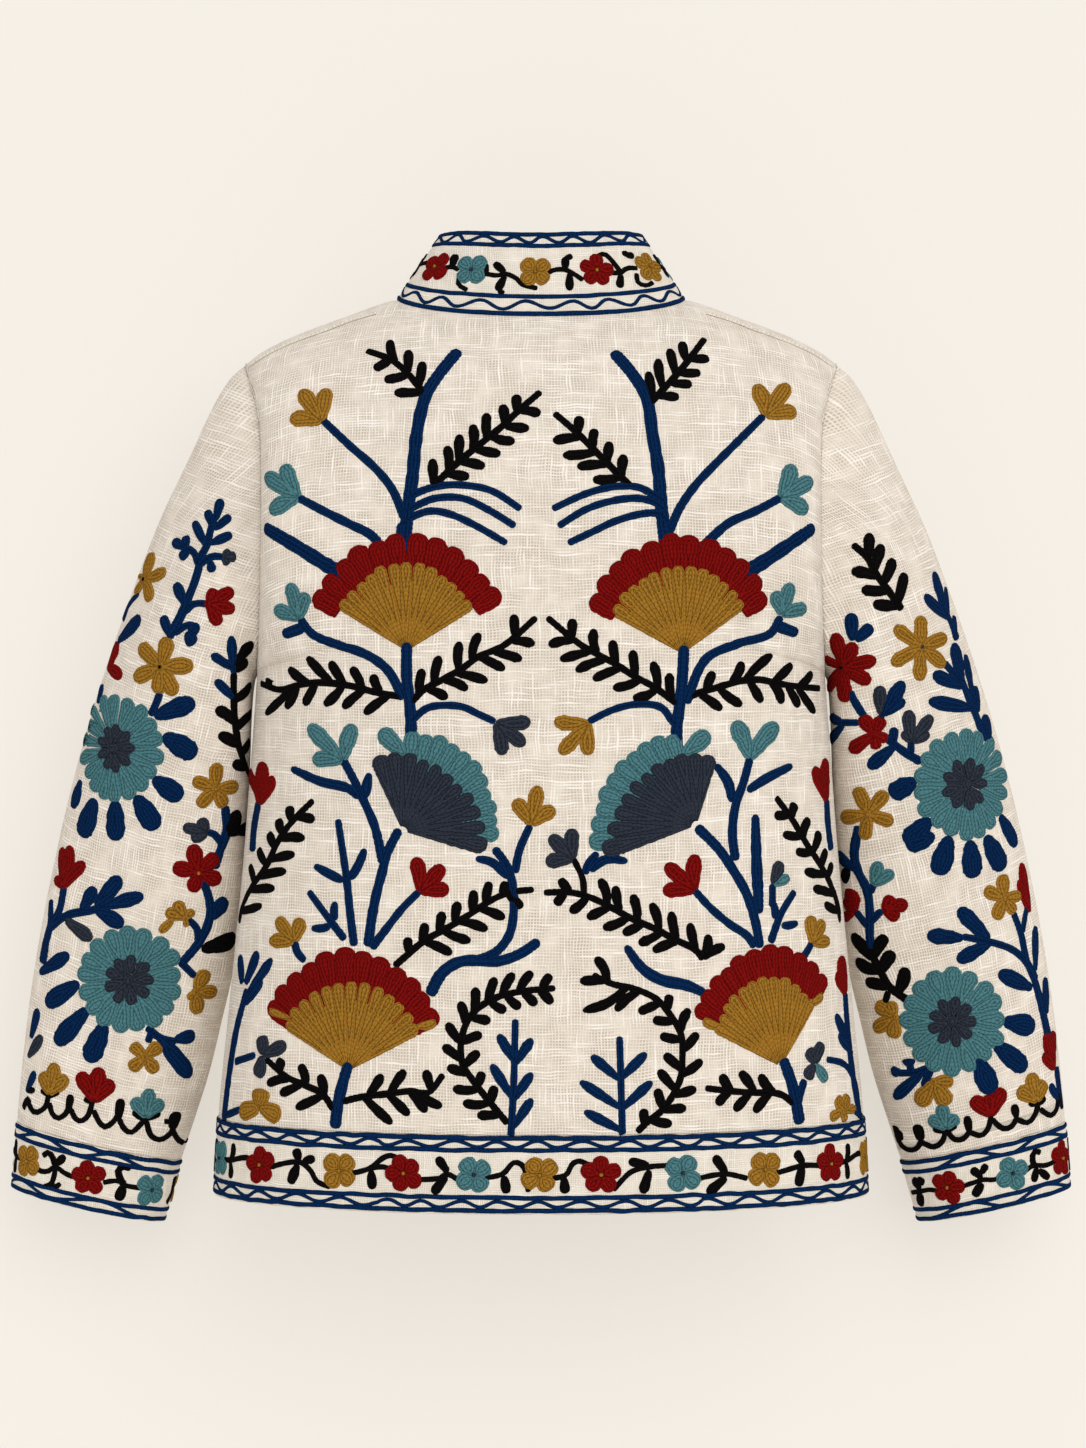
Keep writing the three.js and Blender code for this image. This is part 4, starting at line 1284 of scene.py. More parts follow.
# %% The lower back
stems(back, "blue", """
    7.4 0.9 -144,-578 -142,-562 -137,-542 -135,-536;
    7.4 0.9 181,-575 176,-550 170,-533;
    5 0.8 -222,-573 -218,-540 -213,-510 -206,-484;
    5 0.8 -21,-584 -19,-546 -18,-505;
    5 0.8 57,-584 56,-550 55,-517;
    4.8 0.85 -213,-533 -201,-529;
    5 0.9 180,-562 184,-547;
    4.6 0.85 223,-570 219,-546 212,-535 201,-532;
    5 0.85 223,-570 219,-547 216,-524 214,-502 213,-486
""")
leaves(back, "blue", "8 116,-486 102,-480 84,-476 71,-468 59,-452")
petals(back, """
    blue 6.4 -209,-479 -211,-459; blue 6.4 -207,-479 -198,-456; blue 6.4 -206,-487 -188,-461;
    blue 6.4 -207,-493 -195,-476; blue 6.4 -19,-533 -30,-514; blue 6.4 -19,-536 -6,-517;
    blue 6.4 -20,-559 -35,-535; blue 6.4 -20,-561 -6,-541; blue 6.4 -20,-580 -6,-559;
    blue 6.4 55,-546 35,-529; blue 6.4 55,-546 74,-527; blue 6.4 56,-566 27,-547;
    blue 6.4 56,-567 78,-547; blue 6.4 57,-582 30,-568; blue 6.4 217,-524 206,-500;
    blue 6.4 218,-528 208,-514
""", 1, 0, 0.5)
ferns(back, """
    5 3.8 -146,-566 -153,-556 -165,-550 -178,-544 -192,-532 / -181,-531 -169,-535 -155,-542 -192,-549
        -183,-556 -172,-566;
    5 3.8 -138,-561 -125,-558 -108,-556 -91,-554 -79,-555 -69,-543 / -111,-542 -95,-539 -81,-539 -104,-577
        -92,-571 -80,-569 -69,-565;
    5 3.8 -24,-576 -38,-559 -48,-546 -55,-535 -56,-520 -52,-506 -44,-496 -30,-488 -12,-484 9,-482 /
        -46,-481 -32,-474 -19,-471 -6,-470 7,-472 -57,-491 -66,-506 -69,-522 -66,-537 -62,-552 -55,-562
        -45,-571 -24,-498 -14,-496 -3,-494 8,-493 -35,-505 -41,-514 -43,-526 -41,-540 -32,-550;
    5 3.8 68,-582 74,-576 86,-566 97,-547 99,-529 98,-514 90,-500 80,-489 64,-482 50,-479 37,-473 /
        38,-460 27,-477 29,-498 90,-486 104,-496 110,-513 113,-532 109,-552 102,-566 92,-577 52,-498
        68,-499 78,-504 83,-515 86,-528 82,-539 81,-552 72,-566;
    5 3.8 176,-562 167,-556 148,-555 133,-554 116,-552 / 126,-542 139,-540 153,-542 123,-564 135,-568
        149,-569
""")
tulips(back, """
    slate 9 -195,-529 -196,-515 -178,-521 -199,-544;
    slate 8 192,-535 197,-520 187,-524 186,-546;
    teal 7 192,-535 200,-547;
    red 9 213,-486 210,-459 206,-472
""")
petals(back, """
    gold 12.5 -197,-565 -196,-552; gold 12.5 -197,-565 -211,-569; gold 12.5 -197,-565 -182,-572
""", 1.2, 0.25, 0.5)
blooms(back, "gold none 8 211,-568 207,-558 215,-557 202,-573 220,-566 213,-575")
petals(back, "blue 5 -223,-572 -209,-566; blue 5 216,-566 226,-573")
fan(back, "-135,-540", [
    ("red", 12, 0.58, 0.1, "-50,72 -30,80 0,86 30,81 56,76"),
    ("gold", 13, 0.04, 0.6, "-51,56 -25,61 0,63.5 25,62 57,58"),
])
petals(back, "gold 8 -174,-504 -190,-497; gold 8 -90,-510 -73,-505")
fan(back, "168,-537", [
    ("red", 11, 0.58, 0.1, "-54,73 -35,80 -3,86 14,81 26,71"),
    ("gold", 12, 0.04, 0.6, "-58,54 -30,62 -3,65 12,58 25,50"),
])
petals(back, "gold 8 128,-510 113,-504; gold 8 187,-494 197,-486")
back.join()

# %% [markdown]
# The sleeves' pattern. Two rosettes sit on each sleeve, one above the other, with blue leaves spread round
# their outer side. They are sewn true to the cloth, so they wrap round the sleeve's edge. Smaller flowers
# fill the places between, and a black garland with three tulips runs above the cuff.

# %% The left sleeve
left = Needle("sleeve_left", ["sleeve_left"])
stems(left, "blue", """
    6.2 0.7 -260,-235 -253,-223 -248,-211 -243,-199 -240,-189 -238,-180 -234,-172 -231,-160 -228,-151;
    4.6 0.9 -240,-185 -243,-177 -248,-174;
    4.6 0.9 -238,-185 -231,-180 -223,-180;
    5 0.85 -249,-218 -243,-213 -233,-213;
    4.6 0.9 -256,-233 -248,-228 -243,-228;
    5 0.85 -292,-223 -288,-213 -282,-206;
    5 0.9 -267,-276 -270,-284 -273,-290;
    5.4 0.95 -221,-356 -220,-372 -225,-387 -228,-397;
    4.8 0.9 -224,-380 -229,-374 -233,-373
""")
petals(left, """
    blue 6.4 -228,-155 -224,-139; blue 6 -230,-159 -234,-147; blue 6.2 -235,-172 -243,-155;
    blue 6 -229,-161 -217,-151; blue 6.4 -232,-171 -216,-164; blue 7 -248,-174 -258,-169;
    blue 6 -248,-174 -249,-165; blue 6.6 -246,-175 -253,-181; slate 6 -223,-180 -217,-176;
    slate 7 -223,-180 -213,-180; slate 6 -223,-180 -218,-185; blue 6 -232,-182 -230,-191;
    blue 7.4 -249,-214 -256,-198; blue 7 -260,-235 -265,-221; blue 8.4 -248,-228 -239,-232;
    blue 9 -248,-232 -243,-242; blue 10 -296,-239 -280,-222; blue 4.6 -310,-283 -307,-269;
    blue 13 -271,-292 -242,-281; blue 15 -265,-305 -241,-319; blue 14 -272,-335 -251,-349;
    blue 15 -284,-347 -269,-371; blue 13.5 -298,-350 -298,-379; blue 14 -312,-349 -322,-376;
    blue 7 -322,-336 -328,-356; slate 8 -233,-373 -251,-369; slate 8 -233,-373 -239,-363;
    slate 8 -233,-373 -245,-378; black 11 -221,-373 -210,-360; black 10 -221,-374 -205,-370;
    red 7 -303,-260 -296,-239; red 9 -303,-257 -293,-264
""", 1.1, 0.1, 0.42)
ferns(left, """
    6.2 4 -205,-331 -211,-314 -214,-296 -215,-279 -215,-262 / -203,-270 -228,-286 -203,-290 -226,-304
        -204,-310 -216,-324
""")
petals(left, """
    blue 6.4 -215,-262 -217,-235; blue 6.4 -216,-258 -231,-248; black 6.4 -215,-257 -202,-239;
    black 6.4 -215,-260 -205,-253; blue 6.4 -215,-279 -228,-266
""", 1, 0, 0.55)
blooms(left, """
    red none 9 -233,-213 -228,-202 -215,-203 -214,-217 -225,-228;
    gold black 8.5 -277,-196 -273,-177 -262,-190 -273,-211 -284,-205 -283,-192;
    gold black 11 -266,-257 -261,-236 -243,-256 -256,-277 -268,-276 -285,-265 -281,-242;
    gold gold 9 -228,-342 -227,-324 -212,-341 -221,-355 -240,-355 -244,-336
""")
rosette(left, "-299,-314", "23.4,34.8,38.2", 18, 0.46)
stems(left, "blue", """
    5.4 0.85 -349,-463 -344,-440 -337,-427 -334,-411;
    5.6 0.85 -344,-440 -332,-431 -313,-427 -299,-421;
    5.4 0.95 -252,-465 -238,-448 -232,-433 -232,-421 -236,-408;
    4.8 0.85 -240,-448 -241,-440 -247,-434;
    5 0.9 -252,-464 -243,-473;
    5 0.9 -275,-510 -266,-517 -256,-519;
    4.6 0.9 -272,-511 -275,-519;
    4.4 0.8 -349,-463 -347,-450 -344,-440 -343,-421
""")
petals(left, """
    blue 11 -312,-425 -294,-404; blue 9 -322,-428 -312,-411; blue 9.5 -307,-425 -278,-417;
    blue 10.5 -312,-427 -292,-438; slate 9.5 -333,-434 -314,-448; blue 9 -231,-434 -220,-419;
    black 13 -238,-455 -214,-448; blue 9.5 -351,-471 -330,-458; blue 13 -323,-478 -347,-493;
    blue 13.5 -317,-496 -340,-521; blue 14.5 -305,-506 -317,-534; blue 5.5 -357,-517 -352,-496;
    slate 7 -359,-530 -349,-515; blue 9.5 -257,-518 -242,-515; blue 11.5 -268,-515 -245,-544;
    blue 5 -360,-554 -354,-540; black 4 -360,-554 -354,-553
""", 1.1, 0.1, 0.42)
tulips(left, "red 9 -335,-412 -329,-382 -336,-384 -319,-394 -340,-405")
blooms(left, """
    red gold 10.5 -240,-401 -244,-381 -226,-389 -224,-407 -244,-415 -258,-397;
    gold none 8.5 -249,-433 -243,-427 -256,-421 -263,-428 -248,-439
""")
petals(left, "gold 6 -257,-433 -267,-443")
blooms(left, """
    gold none 9.5 -242,-484 -234,-469 -227,-485 -240,-500 -247,-490;
    gold none 12 -277,-530 -287,-521 -266,-521 -269,-541 -288,-539
""")
rosette(left, "-289,-476", "36.6,38.8,38.2", 17, 0.475)
stems(left, "black", """
    3.9 0.95 -362,-565 -359,-559 -358,-564 -354,-569 -347,-565 -345,-558;
    3.9 0.95 -344,-563 -342,-570 -338,-573 -333,-570 -331,-566;
    3.9 0.95 -329,-567 -326,-573 -322,-575 -317,-571 -314,-561;
    3.9 0.95 -313,-568 -309,-576 -305,-579 -299,-575 -296,-570;
    3.9 0.95 -295,-574 -292,-580 -287,-583 -281,-578 -277,-573;
    3.9 0.95 -276,-576 -273,-585 -267,-588 -261,-585 -257,-580;
    3.9 0.95 -257,-583 -254,-588 -250,-590 -246,-586
""")
petals(left, """
    black 4 -345,-558 -337,-554; black 3.6 -345,-557 -350,-553; black 5.4 -331,-568 -329,-556;
    black 6.4 -296,-574 -294,-559; black 7.4 -258,-581 -255,-568; black 4.6 -278,-574 -286,-568;
    black 4.6 -277,-574 -266,-569; black 4 -314,-562 -320,-559
""", 0.95, 0, 0.6)
tulips(left, """
    gold 10 -344,-557 -350,-541 -340,-534 -331,-544;
    red 11 -313,-562 -324,-541 -309,-537 -299,-547;
    teal 9.5 -277,-573 -286,-559 -274,-552 -264,-561
""")
left.join()

# %% [markdown]
# The right sleeve. It has the same parts as the left one, but each has its own place, as the two were
# drawn by hand.

# %% The right sleeve
right = Needle("sleeve_right", ["sleeve_right"])
ferns(right, """
    6 4.4 252,-216 242,-202 234,-191 228,-180 219,-172 / 230,-163 239,-171 247,-181 255,-191 217,-190
        224,-203 232,-213
""")
stems(right, "blue", """
    4.6 0.8 291,-237 287,-226 283,-218 280,-207;
    4.8 0.9 283,-255 294,-268 303,-282;
    5.6 0.8 315,-311 309,-302 303,-287 298,-275 293,-262 290,-252;
    5 0.95 216,-275 223,-287 226,-291;
    4.4 0.9 211,-296 222,-296;
    5.4 0.9 265,-323 255,-317 247,-311 241,-306;
    4.6 0.9 259,-317 259,-309;
    5.2 0.95 222,-370 219,-391;
    4.6 0.9 238,-292 236,-297
""")
petals(right, """
    blue 6 284,-222 275,-190; blue 8 285,-223 268,-207; blue 3.6 285,-221 283,-201;
    blue 4 290,-235 289,-221; blue 8.5 295,-268 289,-240; blue 9.5 295,-271 274,-262;
    blue 9.5 303,-286 271,-281; blue 4.8 302,-277 297,-248; blue 5 306,-289 304,-270;
    blue 7 314,-310 311,-290; blue 9 218,-239 217,-219; blue 8.5 220,-239 232,-228;
    slate 9 238,-291 237,-270; blue 9.5 238,-292 254,-267; blue 7 239,-291 255,-280;
    blue 9 248,-312 229,-328; blue 6 247,-312 247,-299; slate 9.5 259,-310 257,-287;
    slate 8.5 259,-310 274,-291; slate 7 260,-310 272,-303; slate 6 259,-310 253,-302;
    blue 8.5 212,-296 201,-292; blue 8.5 212,-297 201,-310; blue 14 263,-336 244,-347;
    blue 14.5 273,-363 255,-381; blue 10 321,-361 333,-381
""", 1.1, 0.1, 0.42)
blooms(right, """
    gold slate 9.5 266,-243 266,-221 284,-236 283,-256 265,-267 245,-255 247,-229;
    red black 9.5 211,-257 206,-233 220,-240 235,-252 231,-268 212,-282 199,-275 197,-251;
    red red 9.5 233,-304 224,-291 239,-292 243,-308 235,-315 216,-316;
    gold gold 9.5 229,-360 221,-341 242,-344 247,-366 226,-378 210,-363
""")
rosette(right, "298,-339", "38.2,28.4,39.4", 18, 0.49)
stems(right, "blue", """
    5.4 0.95 222,-370 219,-385 221,-398 228,-413 230,-427 230,-444 231,-453;
    4.6 0.9 219,-398 212,-395;
    4.6 0.9 231,-414 233,-409;
    4.8 0.9 231,-435 238,-428;
    4.6 0.9 228,-438 221,-429;
    5.4 0.75 355,-515 351,-497 346,-478 340,-463 336,-444 331,-430;
    3.6 0.9 337,-442 340,-425;
    5.2 0.85 346,-475 340,-464 330,-455 316,-450 296,-446;
    4.4 0.9 364,-563 361,-538;
    4.8 0.9 273,-537 261,-541 248,-541;
    5 0.9 273,-538 268,-550;
    4.4 0.9 259,-540 258,-535
""")
stems(right, "black", "4.6 0.95 243,-485 241,-491")
petals(right, """
    blue 9 219,-398 208,-389; black 9 216,-398 211,-406; teal 9 232,-410 237,-393;
    teal 8.5 232,-410 247,-400; blue 14 276,-375 255,-382; blue 15 286,-375 278,-403;
    blue 14 300,-378 303,-405; blue 14 311,-375 324,-399; blue 9 323,-365 333,-382;
    blue 10.5 296,-447 270,-445; blue 11 314,-448 292,-426; blue 10 315,-450 291,-463;
    blue 11 344,-482 320,-471; blue 5 346,-470 346,-438; blue 5 354,-500 353,-474;
    blue 14.5 323,-505 346,-509; blue 14 317,-520 340,-539; blue 15 305,-530 316,-556;
    blue 8.5 268,-540 247,-559; blue 7 253,-541 245,-540; blue 8 258,-537 257,-531;
    blue 5.4 362,-560 356,-549
""", 1.1, 0.1, 0.42)
ferns(right, """
    7 4.6 256,-490 244,-481 238,-471 233,-461 231,-450 / 217,-445 242,-445 220,-463 247,-456 227,-478
        255,-467
""")
tulips(right, "red 9.5 239,-428 246,-417 257,-422 251,-433; red 9.5 220,-429 217,-412 212,-433 212,-421")
blooms(right, """
    gold none 10 248,-502 234,-493 244,-491 233,-511 246,-517;
    gold none 12 275,-547 289,-547 285,-564 264,-564;
    gold gold 9.5 324,-419 323,-402 336,-417 332,-429 318,-434 310,-413
""")
tulips(right, "red 6 342,-429 336,-394 334,-406; red 7.5 359,-539 353,-513 359,-512 351,-528")
rosette(right, "288,-505", "37.5,37.3,38.4", 16, 0.465)
stems(right, "black", """
    3.9 0.95 248,-579 251,-590 257,-595 263,-594 266,-589;
    3.9 0.95 267,-590 275,-593 281,-589 283,-582;
    3.9 0.95 285,-583 290,-588 296,-587 300,-582;
    3.9 0.95 301,-583 308,-585 313,-580 315,-571;
    3.9 0.95 316,-574 323,-580 329,-579 333,-573;
    3.9 0.95 334,-574 341,-576 346,-570 348,-563;
    3.9 0.95 350,-567 357,-571 361,-566 362,-556
""")
petals(right, """
    black 7 266,-589 263,-577; black 5.4 300,-583 298,-571; black 5.6 333,-573 331,-563;
    black 5 283,-582 274,-580; black 5 283,-582 291,-577; black 5 348,-563 341,-562;
    black 5 348,-563 353,-558; black 5 252,-589 249,-581; black 3.6 362,-557 365,-566
""", 0.95, 0, 0.6)
tulips(right, """
    teal 9.5 284,-581 271,-573 280,-563 292,-571;
    red 11 315,-572 301,-559 313,-556 324,-552;
    gold 10.5 347,-562 333,-553 343,-541 353,-547
""")
right.join()

# %% [markdown]
# The bands. The collar, the cuffs and the hem band carry pairs of blue lines with a wave between them, and
# a black vine that links small round flowers. These run all the way round, so they are laid by the band's
# own measure: s round it and t across it from its seam, in millimetres.

# %% Band measures
PETALS = {"red": 5, "gold": 4, "teal": 4}  # petals of the bands' flowers


def round_band(form, counts, height, start=0.0):
    """A way to lay s,t places on a band, and the reach of s. form gives points from a share and a count."""
    run = run_length(form(0.5, counts))
    run -= np.interp(start, counts, run)

    def lay(shown):
        shown = np.asarray(shown, float)
        return form(shown[:, 1] / height, np.interp(shown[:, 0], run, counts))

    return lay, run[0], run[-1]


def run_at(lay, shown_x, across, low, high):
    """The s at which a band's middle shows at these x on the view."""
    s = np.linspace(low, high, 300)
    shown = as_seen(lay(np.column_stack([s, np.full(300, across)])))[:, 0]
    return np.interp(shown_x, shown, s)


print(PETALS)

# %% [markdown]
# What the bands carry. The wave swings from side to side at uneven steps, as a hand draws it. On the hidden
# sides the vine follows the measure, with its leaves in three styles by turns.

# %% Waves, vines and flower heads
def lines_and_wave(cloth, reach, low, high, period, seed, swing=0.6):
    """Two blue lines at t low and high, with an uneven wave between them."""
    luck = np.random.default_rng(seed)
    for t in (low, high):
        s = np.arange(reach[0], reach[1] + 8, 8.0)
        drift = 0.25 * luck.standard_normal(len(s))
        stem(cloth, "blue", np.column_stack([np.clip(s, *reach), t + drift]), 2.9, 1.0, 0.85)
    count = int(2.6 * (reach[1] - reach[0]) / period)
    turns = reach[0] + np.cumsum(period / 2 * luck.uniform(0.75, 1.25, count))
    turns = turns[turns < reach[1] - 1]
    side = (-1.0) ** np.arange(len(turns))
    reaches = luck.uniform(0.75, 1.2, len(turns)) * side * swing * (high - low) / 2
    s = np.arange(turns[0], turns[-1], 1.5)
    share = (1 - np.cos(np.pi * np.interp(s, turns, np.arange(len(turns))) % np.pi)) / 2
    one = np.searchsorted(turns, s, side="right") - 1
    wave = reaches[one] + (reaches[np.minimum(one + 1, len(turns) - 1)] - reaches[one]) * share
    stem(cloth, "blue", np.column_stack([s, (low + high) / 2 + wave]), 2.2, 1.0, 0.7)


def linked(cloth, flowers, across, size, leaf_length=12.5, tall=1.0):
    """A black vine with small leaves between each two flowers. tall stretches t."""
    def at(s, t):
        return np.array([s, across + t * leaf_length * tall])

    for k in range(len(flowers) - 1):
        one, two = flowers[k][0], flowers[k + 1][0]
        gap = two - one
        if gap < 2 * size + 4:
            continue
        style, flip = k % 3, 1 if k % 2 else -1
        node_s = one + (0.34, 0.5, 0.42)[style] * gap
        knots = [at(one, 0), at(node_s, 0.02 * flip), at(one + 0.74 * gap, 0.3 * flip), at(two, 0)]
        stem(cloth, "black", np.array(knots), 3.7, 1.0, 0.8)
        if style == 2:
            arc = [at(node_s, 0), at(one + 0.58 * gap, -0.72), at(one + 0.74 * gap, -0.8), at(two, -0.35)]
            stem(cloth, "black", np.array(arc), 3.7, 1.0, 0.8)
        leaves_here = (
            [(0.25, -1, 0.16), (0.1, 1, -0.1)],
            [(-0.3, -1, -0.12), (0.75, -0.4, 0.08), (-0.5, 1, 0.1)],
            [(0.02, 1.05, 0.08)],
        )[style]
        for lean, side, bend in leaves_here:
            tip = at(node_s + lean * leaf_length, side)
            petal(cloth, "black", at(node_s, 0), tip, 5.6, bend, 0.95, 0.0, 0.5)


def heads(cloth, flowers, across, size):
    """The round flowers, at s along the middle of a band."""
    for s, colour, count in flowers:
        turn = 45 + 8 * chance.standard_normal() if count == 4 else 10 * chance.standard_normal()
        width = size * (1.0 if count == 4 else 0.86)
        flower(cloth, colour, np.array([s, across]), size, count, turn, width)
        spot = cloth.near(cloth.lay(np.array([[s, across]])))[0][0]
        dot(cloth, "gold" if colour != "teal" else "slate", spot, 1.3, 1.35)


def carried_on(runs, reach, pitch, kinds, shift):
    """The flowers that carry a row on round both hidden sides, up to the reach of the band."""
    more = []
    for side in (-1, 1):
        last = runs[0 if side < 0 else -1]
        room = (reach[1] if side > 0 else reach[0]) - last
        count = round(abs(room) / pitch)
        for k in range(count):
            kind = kinds[(k + (side > 0) * shift) % len(kinds)]
            more.append((last + room * (k + 1) / count, kind, PETALS[kind]))
    return more


def vine_and_heads(cloth, row, runs, across, size, *leaf_sizes):
    """The vine, on the hidden sides alone, and all the flowers."""
    linked(cloth, sorted(one for one in row if one[0] <= runs[0]), across, size, *leaf_sizes)
    linked(cloth, sorted(one for one in row if one[0] >= runs[-1]), across, size, *leaf_sizes)
    heads(cloth, row, across, size)
    cloth.join()


print(len(PETALS), "colours of flowers on the bands")

# %% [markdown]
# The hem band. It is cut as one long strip, folded double and sewn to the body's lower edge. Its flowers
# keep their places on the side that shows, and carry on evenly round both sides to the front edges.

# %% The hem band
lay, low, high = round_band(hem_band, ways, HEM_BAND, 4.0)
hem = Needle("hem_band", ["hem_band"], lay)
lines_and_wave(hem, (low + 2, high - 2), 1.7, 9.8, 29, 21, 0.52)
lines_and_wave(hem, (low + 2, high - 2), 41.6, 50.4, 29, 22, 0.52)
back_runs = run_at(lay, np.array([-196, -141, -96, -47, -1, 42, 99, 156, 202]), 26, -300, 300)
kinds = "red gold red teal gold red teal gold red".split()
row = [(s, kind, PETALS[kind]) for s, kind in zip(back_runs, kinds)]
row += carried_on(back_runs, (low + 14, high - 14), 47, ["teal", "red", "gold", "red"], 2)
vine_and_heads(hem, row, back_runs, 26.2, 13.6)

# %% [markdown]
# The cuffs. Each is a doubled band round the sleeve's end. Three flowers show on its outer side, and more
# carry on round the side that is hidden.

# %% The cuffs
CUFF_MIDDLE, CUFF_FLOWER = 22.9, 13.0
for side, name, first, spots in (
    (-1, "cuff_left", 61, "gold,-359 red,-317 teal,-273"), (1, "cuff_right", 62, "red,285 teal,330 red,364"),
):
    form = (lambda share, turn: mirrored(cuff(share, turn))) if side < 0 else cuff
    lay, low, high = round_band(form, turns, 46.0)
    band = Needle(name, [name], lay)
    lines_and_wave(band, (low, high), 2.2, 8.8, 62, first, 0.9)
    lines_and_wave(band, (low, high), 36.9, 44.0, 62, first + 5, 0.9)
    shown = np.array([float(pair.split(",")[1]) for pair in spots.split()])
    colours = [pair.split(",")[0] for pair in spots.split()]
    s = np.linspace(4, high / 2 + 8, 300)
    seen_x = as_seen(lay(np.column_stack([s, np.full(300, CUFF_MIDDLE)])))[:, 0]
    at = np.interp(shown * side, seen_x * side, s)
    row = sorted((a, colour, PETALS[colour]) for a, colour in zip(at, colours))
    free = high - (row[-1][0] - row[0][0])
    for k, kind in enumerate(["gold", "red", "teal", "gold"]):
        row.append((row[2][0] + free * (k + 1) / 5, kind, PETALS[kind]))
    row = [one for one in row if one[0] < high - 6]
    linked(band, row[2:], CUFF_MIDDLE, CUFF_FLOWER, 12.0)
    heads(band, row, CUFF_MIDDLE, CUFF_FLOWER)
    band.join()

# %% [markdown]
# The collar. It stands up from the neckline as a doubled strip, open at the front. Its height changes from
# back to front, so here t is a share of it in hundredths.

# %% The collar
COLLAR_HEIGHT, HUNDREDTH = 83.0, 0.83
lay, low, high = round_band(collar, angles, COLLAR_HEIGHT)


def collar_lay(shown):
    shown = np.asarray(shown, float)
    return lay(np.column_stack([shown[:, 0], shown[:, 1] * HUNDREDTH]))


neck = Needle("collar", ["collar"], collar_lay)
lines_and_wave(neck, (low + 1.5, high - 1.5), 2.2, 22.8, 25, 41, 0.5)
lines_and_wave(neck, (low + 1.5, high - 1.5), 83.5, 97.2, 25, 42, 0.6)
back_runs = run_at(collar_lay, np.array([-74, -49, -4, 39, 76]), 50, -150, 150)
row = list(zip(back_runs, ("red", "teal", "gold", "red", "gold"), (4, 4, 4, 5, 5)))
row += carried_on(back_runs, (low + 12, high - 12), 40, ["red", "teal", "gold"], 1)
vine_and_heads(neck, row, back_runs, 52.0, 12.3, 8.6, 2.0)

# %% [markdown]
# The vines that show. Between the flowers the black vine curls a little differently each time, so on the
# side that shows each curl and leaf has its own places on the view. Elsewhere the vine follows the measure.

# %% The vines that show
vines = Needle("hem_vine", ["hem_band"])
stems(vines, "black", """
    3.5 1 -189,-607 -177,-604 -168,-604 -161,-610 -157,-617 -148,-621;
    3.5 1 -134,-612 -120,-608 -111,-601 -105,-599 -101,-601;
    3.5 1 -120,-608 -111,-607 -104,-609;
    3.5 1 -88,-616 -71,-615 -66,-612 -58,-616;
    3.5 1 -41,-615 -27,-612 -19,-604 -13,-606 -10,-614 -9,-624
""", 0.8)
petals(vines, """
    black 6 -169,-603 -172,-594; black 5.4 -167,-603 -158,-601; black 6.6 -170,-605 -176,-619;
    black 6.2 -119,-609 -118,-623; black 6 -65,-611 -73,-600; black 6.4 -66,-613 -76,-626;
    black 6.4 -26,-613 -24,-626
""", 0.95, 0, 0.55)
stems(vines, "black", """
    3.5 1 -3,-616 17,-613 22,-605 27,-603 34,-606;
    3.5 1 51,-623 58,-615 64,-610 76,-607 89,-606;
    3.5 1 107,-616 120,-613 130,-612 136,-613 144,-615;
    3.5 1 163,-612 176,-608 184,-606 195,-606
""", 0.8)
petals(vines, """
    black 6.4 16,-614 17,-626; black 6 76,-606 61,-603; black 6.6 76,-609 71,-626;
    black 6.2 130,-612 121,-599; black 6.6 130,-614 116,-626; black 6 184,-605 178,-596;
    black 6.6 183,-606 180,-621
""", 0.95, 0, 0.55)
vines.join()
vines = Needle("collar_vine", ["collar"])
stems(vines, "black", """
    3.2 1 -68,22 -62,23 -58,21;
    3.2 1 -57,16 -58,11 -52,7;
    3.2 1 -44,25 -39,25 -38,21 -39,17;
    3.2 1 -38,18 -31,17 -24,18 -16,14 -14,11 -3,8;
    3.2 1 5,19 10,21 17,21 23,18 29,14;
    3.2 1 39,30 44,32 49,28 56,19;
    3.2 1 48,19 56,19 60,22 67,22;
    3.2 1 67,18 68,12 74,10 78,12
""", 0.8)
petals(vines, """
    black 5.6 -62,23 -60,32; black 5 -25,19 -33,26; black 5.2 -25,17 -31,6; black 3.6 -30,7 -26,4;
    black 5.2 17,21 17,30; black 4 16,28 22,31; black 5.2 20,19 20,6; black 5.2 56,18 55,8;
    black 4.6 59,30 59,34; black 4.6 59,31 65,31
""", 0.95, 0, 0.6)
vines.join()
vines = Needle("cuff_vine_left", ["cuff_left"])
stems(vines, "black", """
    3.5 1 -354,-607 -350,-610 -345,-610 -340,-607 -334,-611 -328,-614;
    4.2 1 -340,-607 -342,-600 -345,-597 -348,-599;
    3.8 1 -340,-609 -341,-614 -343,-619 -348,-621;
    3.6 1 -342,-619 -340,-621 -337,-619;
    3.4 1 -306,-618 -301,-617 -296,-617 -291,-620 -279,-622;
    4.6 1 -292,-619 -295,-614 -296,-610 -293,-607 -288,-608;
    3 1 -256,-614 -257,-618 -259,-626 -262,-632
""", 0.8)
petals(vines, "black 5.4 -340,-606 -333,-599", 0.95, 0, 0.6)
petals(vines, "black 7 -292,-619 -296,-631", 0.95, 0, 0.5)
vines.join()
vines = Needle("cuff_vine_right", ["cuff_right"])
stems(vines, "black", """
    3.4 1 260,-625 266,-624 272,-623 279,-624;
    3.2 1 294,-621 303,-618 309,-616 317,-616 322,-614;
    3.4 1 336,-612 340,-609 345,-606 353,-606 360,-603;
    4.2 1 345,-606 344,-600 346,-596 349,-597
""", 0.8)
petals(vines, """
    black 5.4 266,-623 260,-615; black 4.6 266,-620 266,-614; black 6 266,-625 265,-634;
    black 5.6 309,-615 301,-608; black 4.8 308,-612 312,-605; black 6.4 309,-618 303,-628;
    black 5 347,-607 345,-618; black 5.4 348,-609 356,-615
""", 0.95, 0, 0.55)
vines.join()

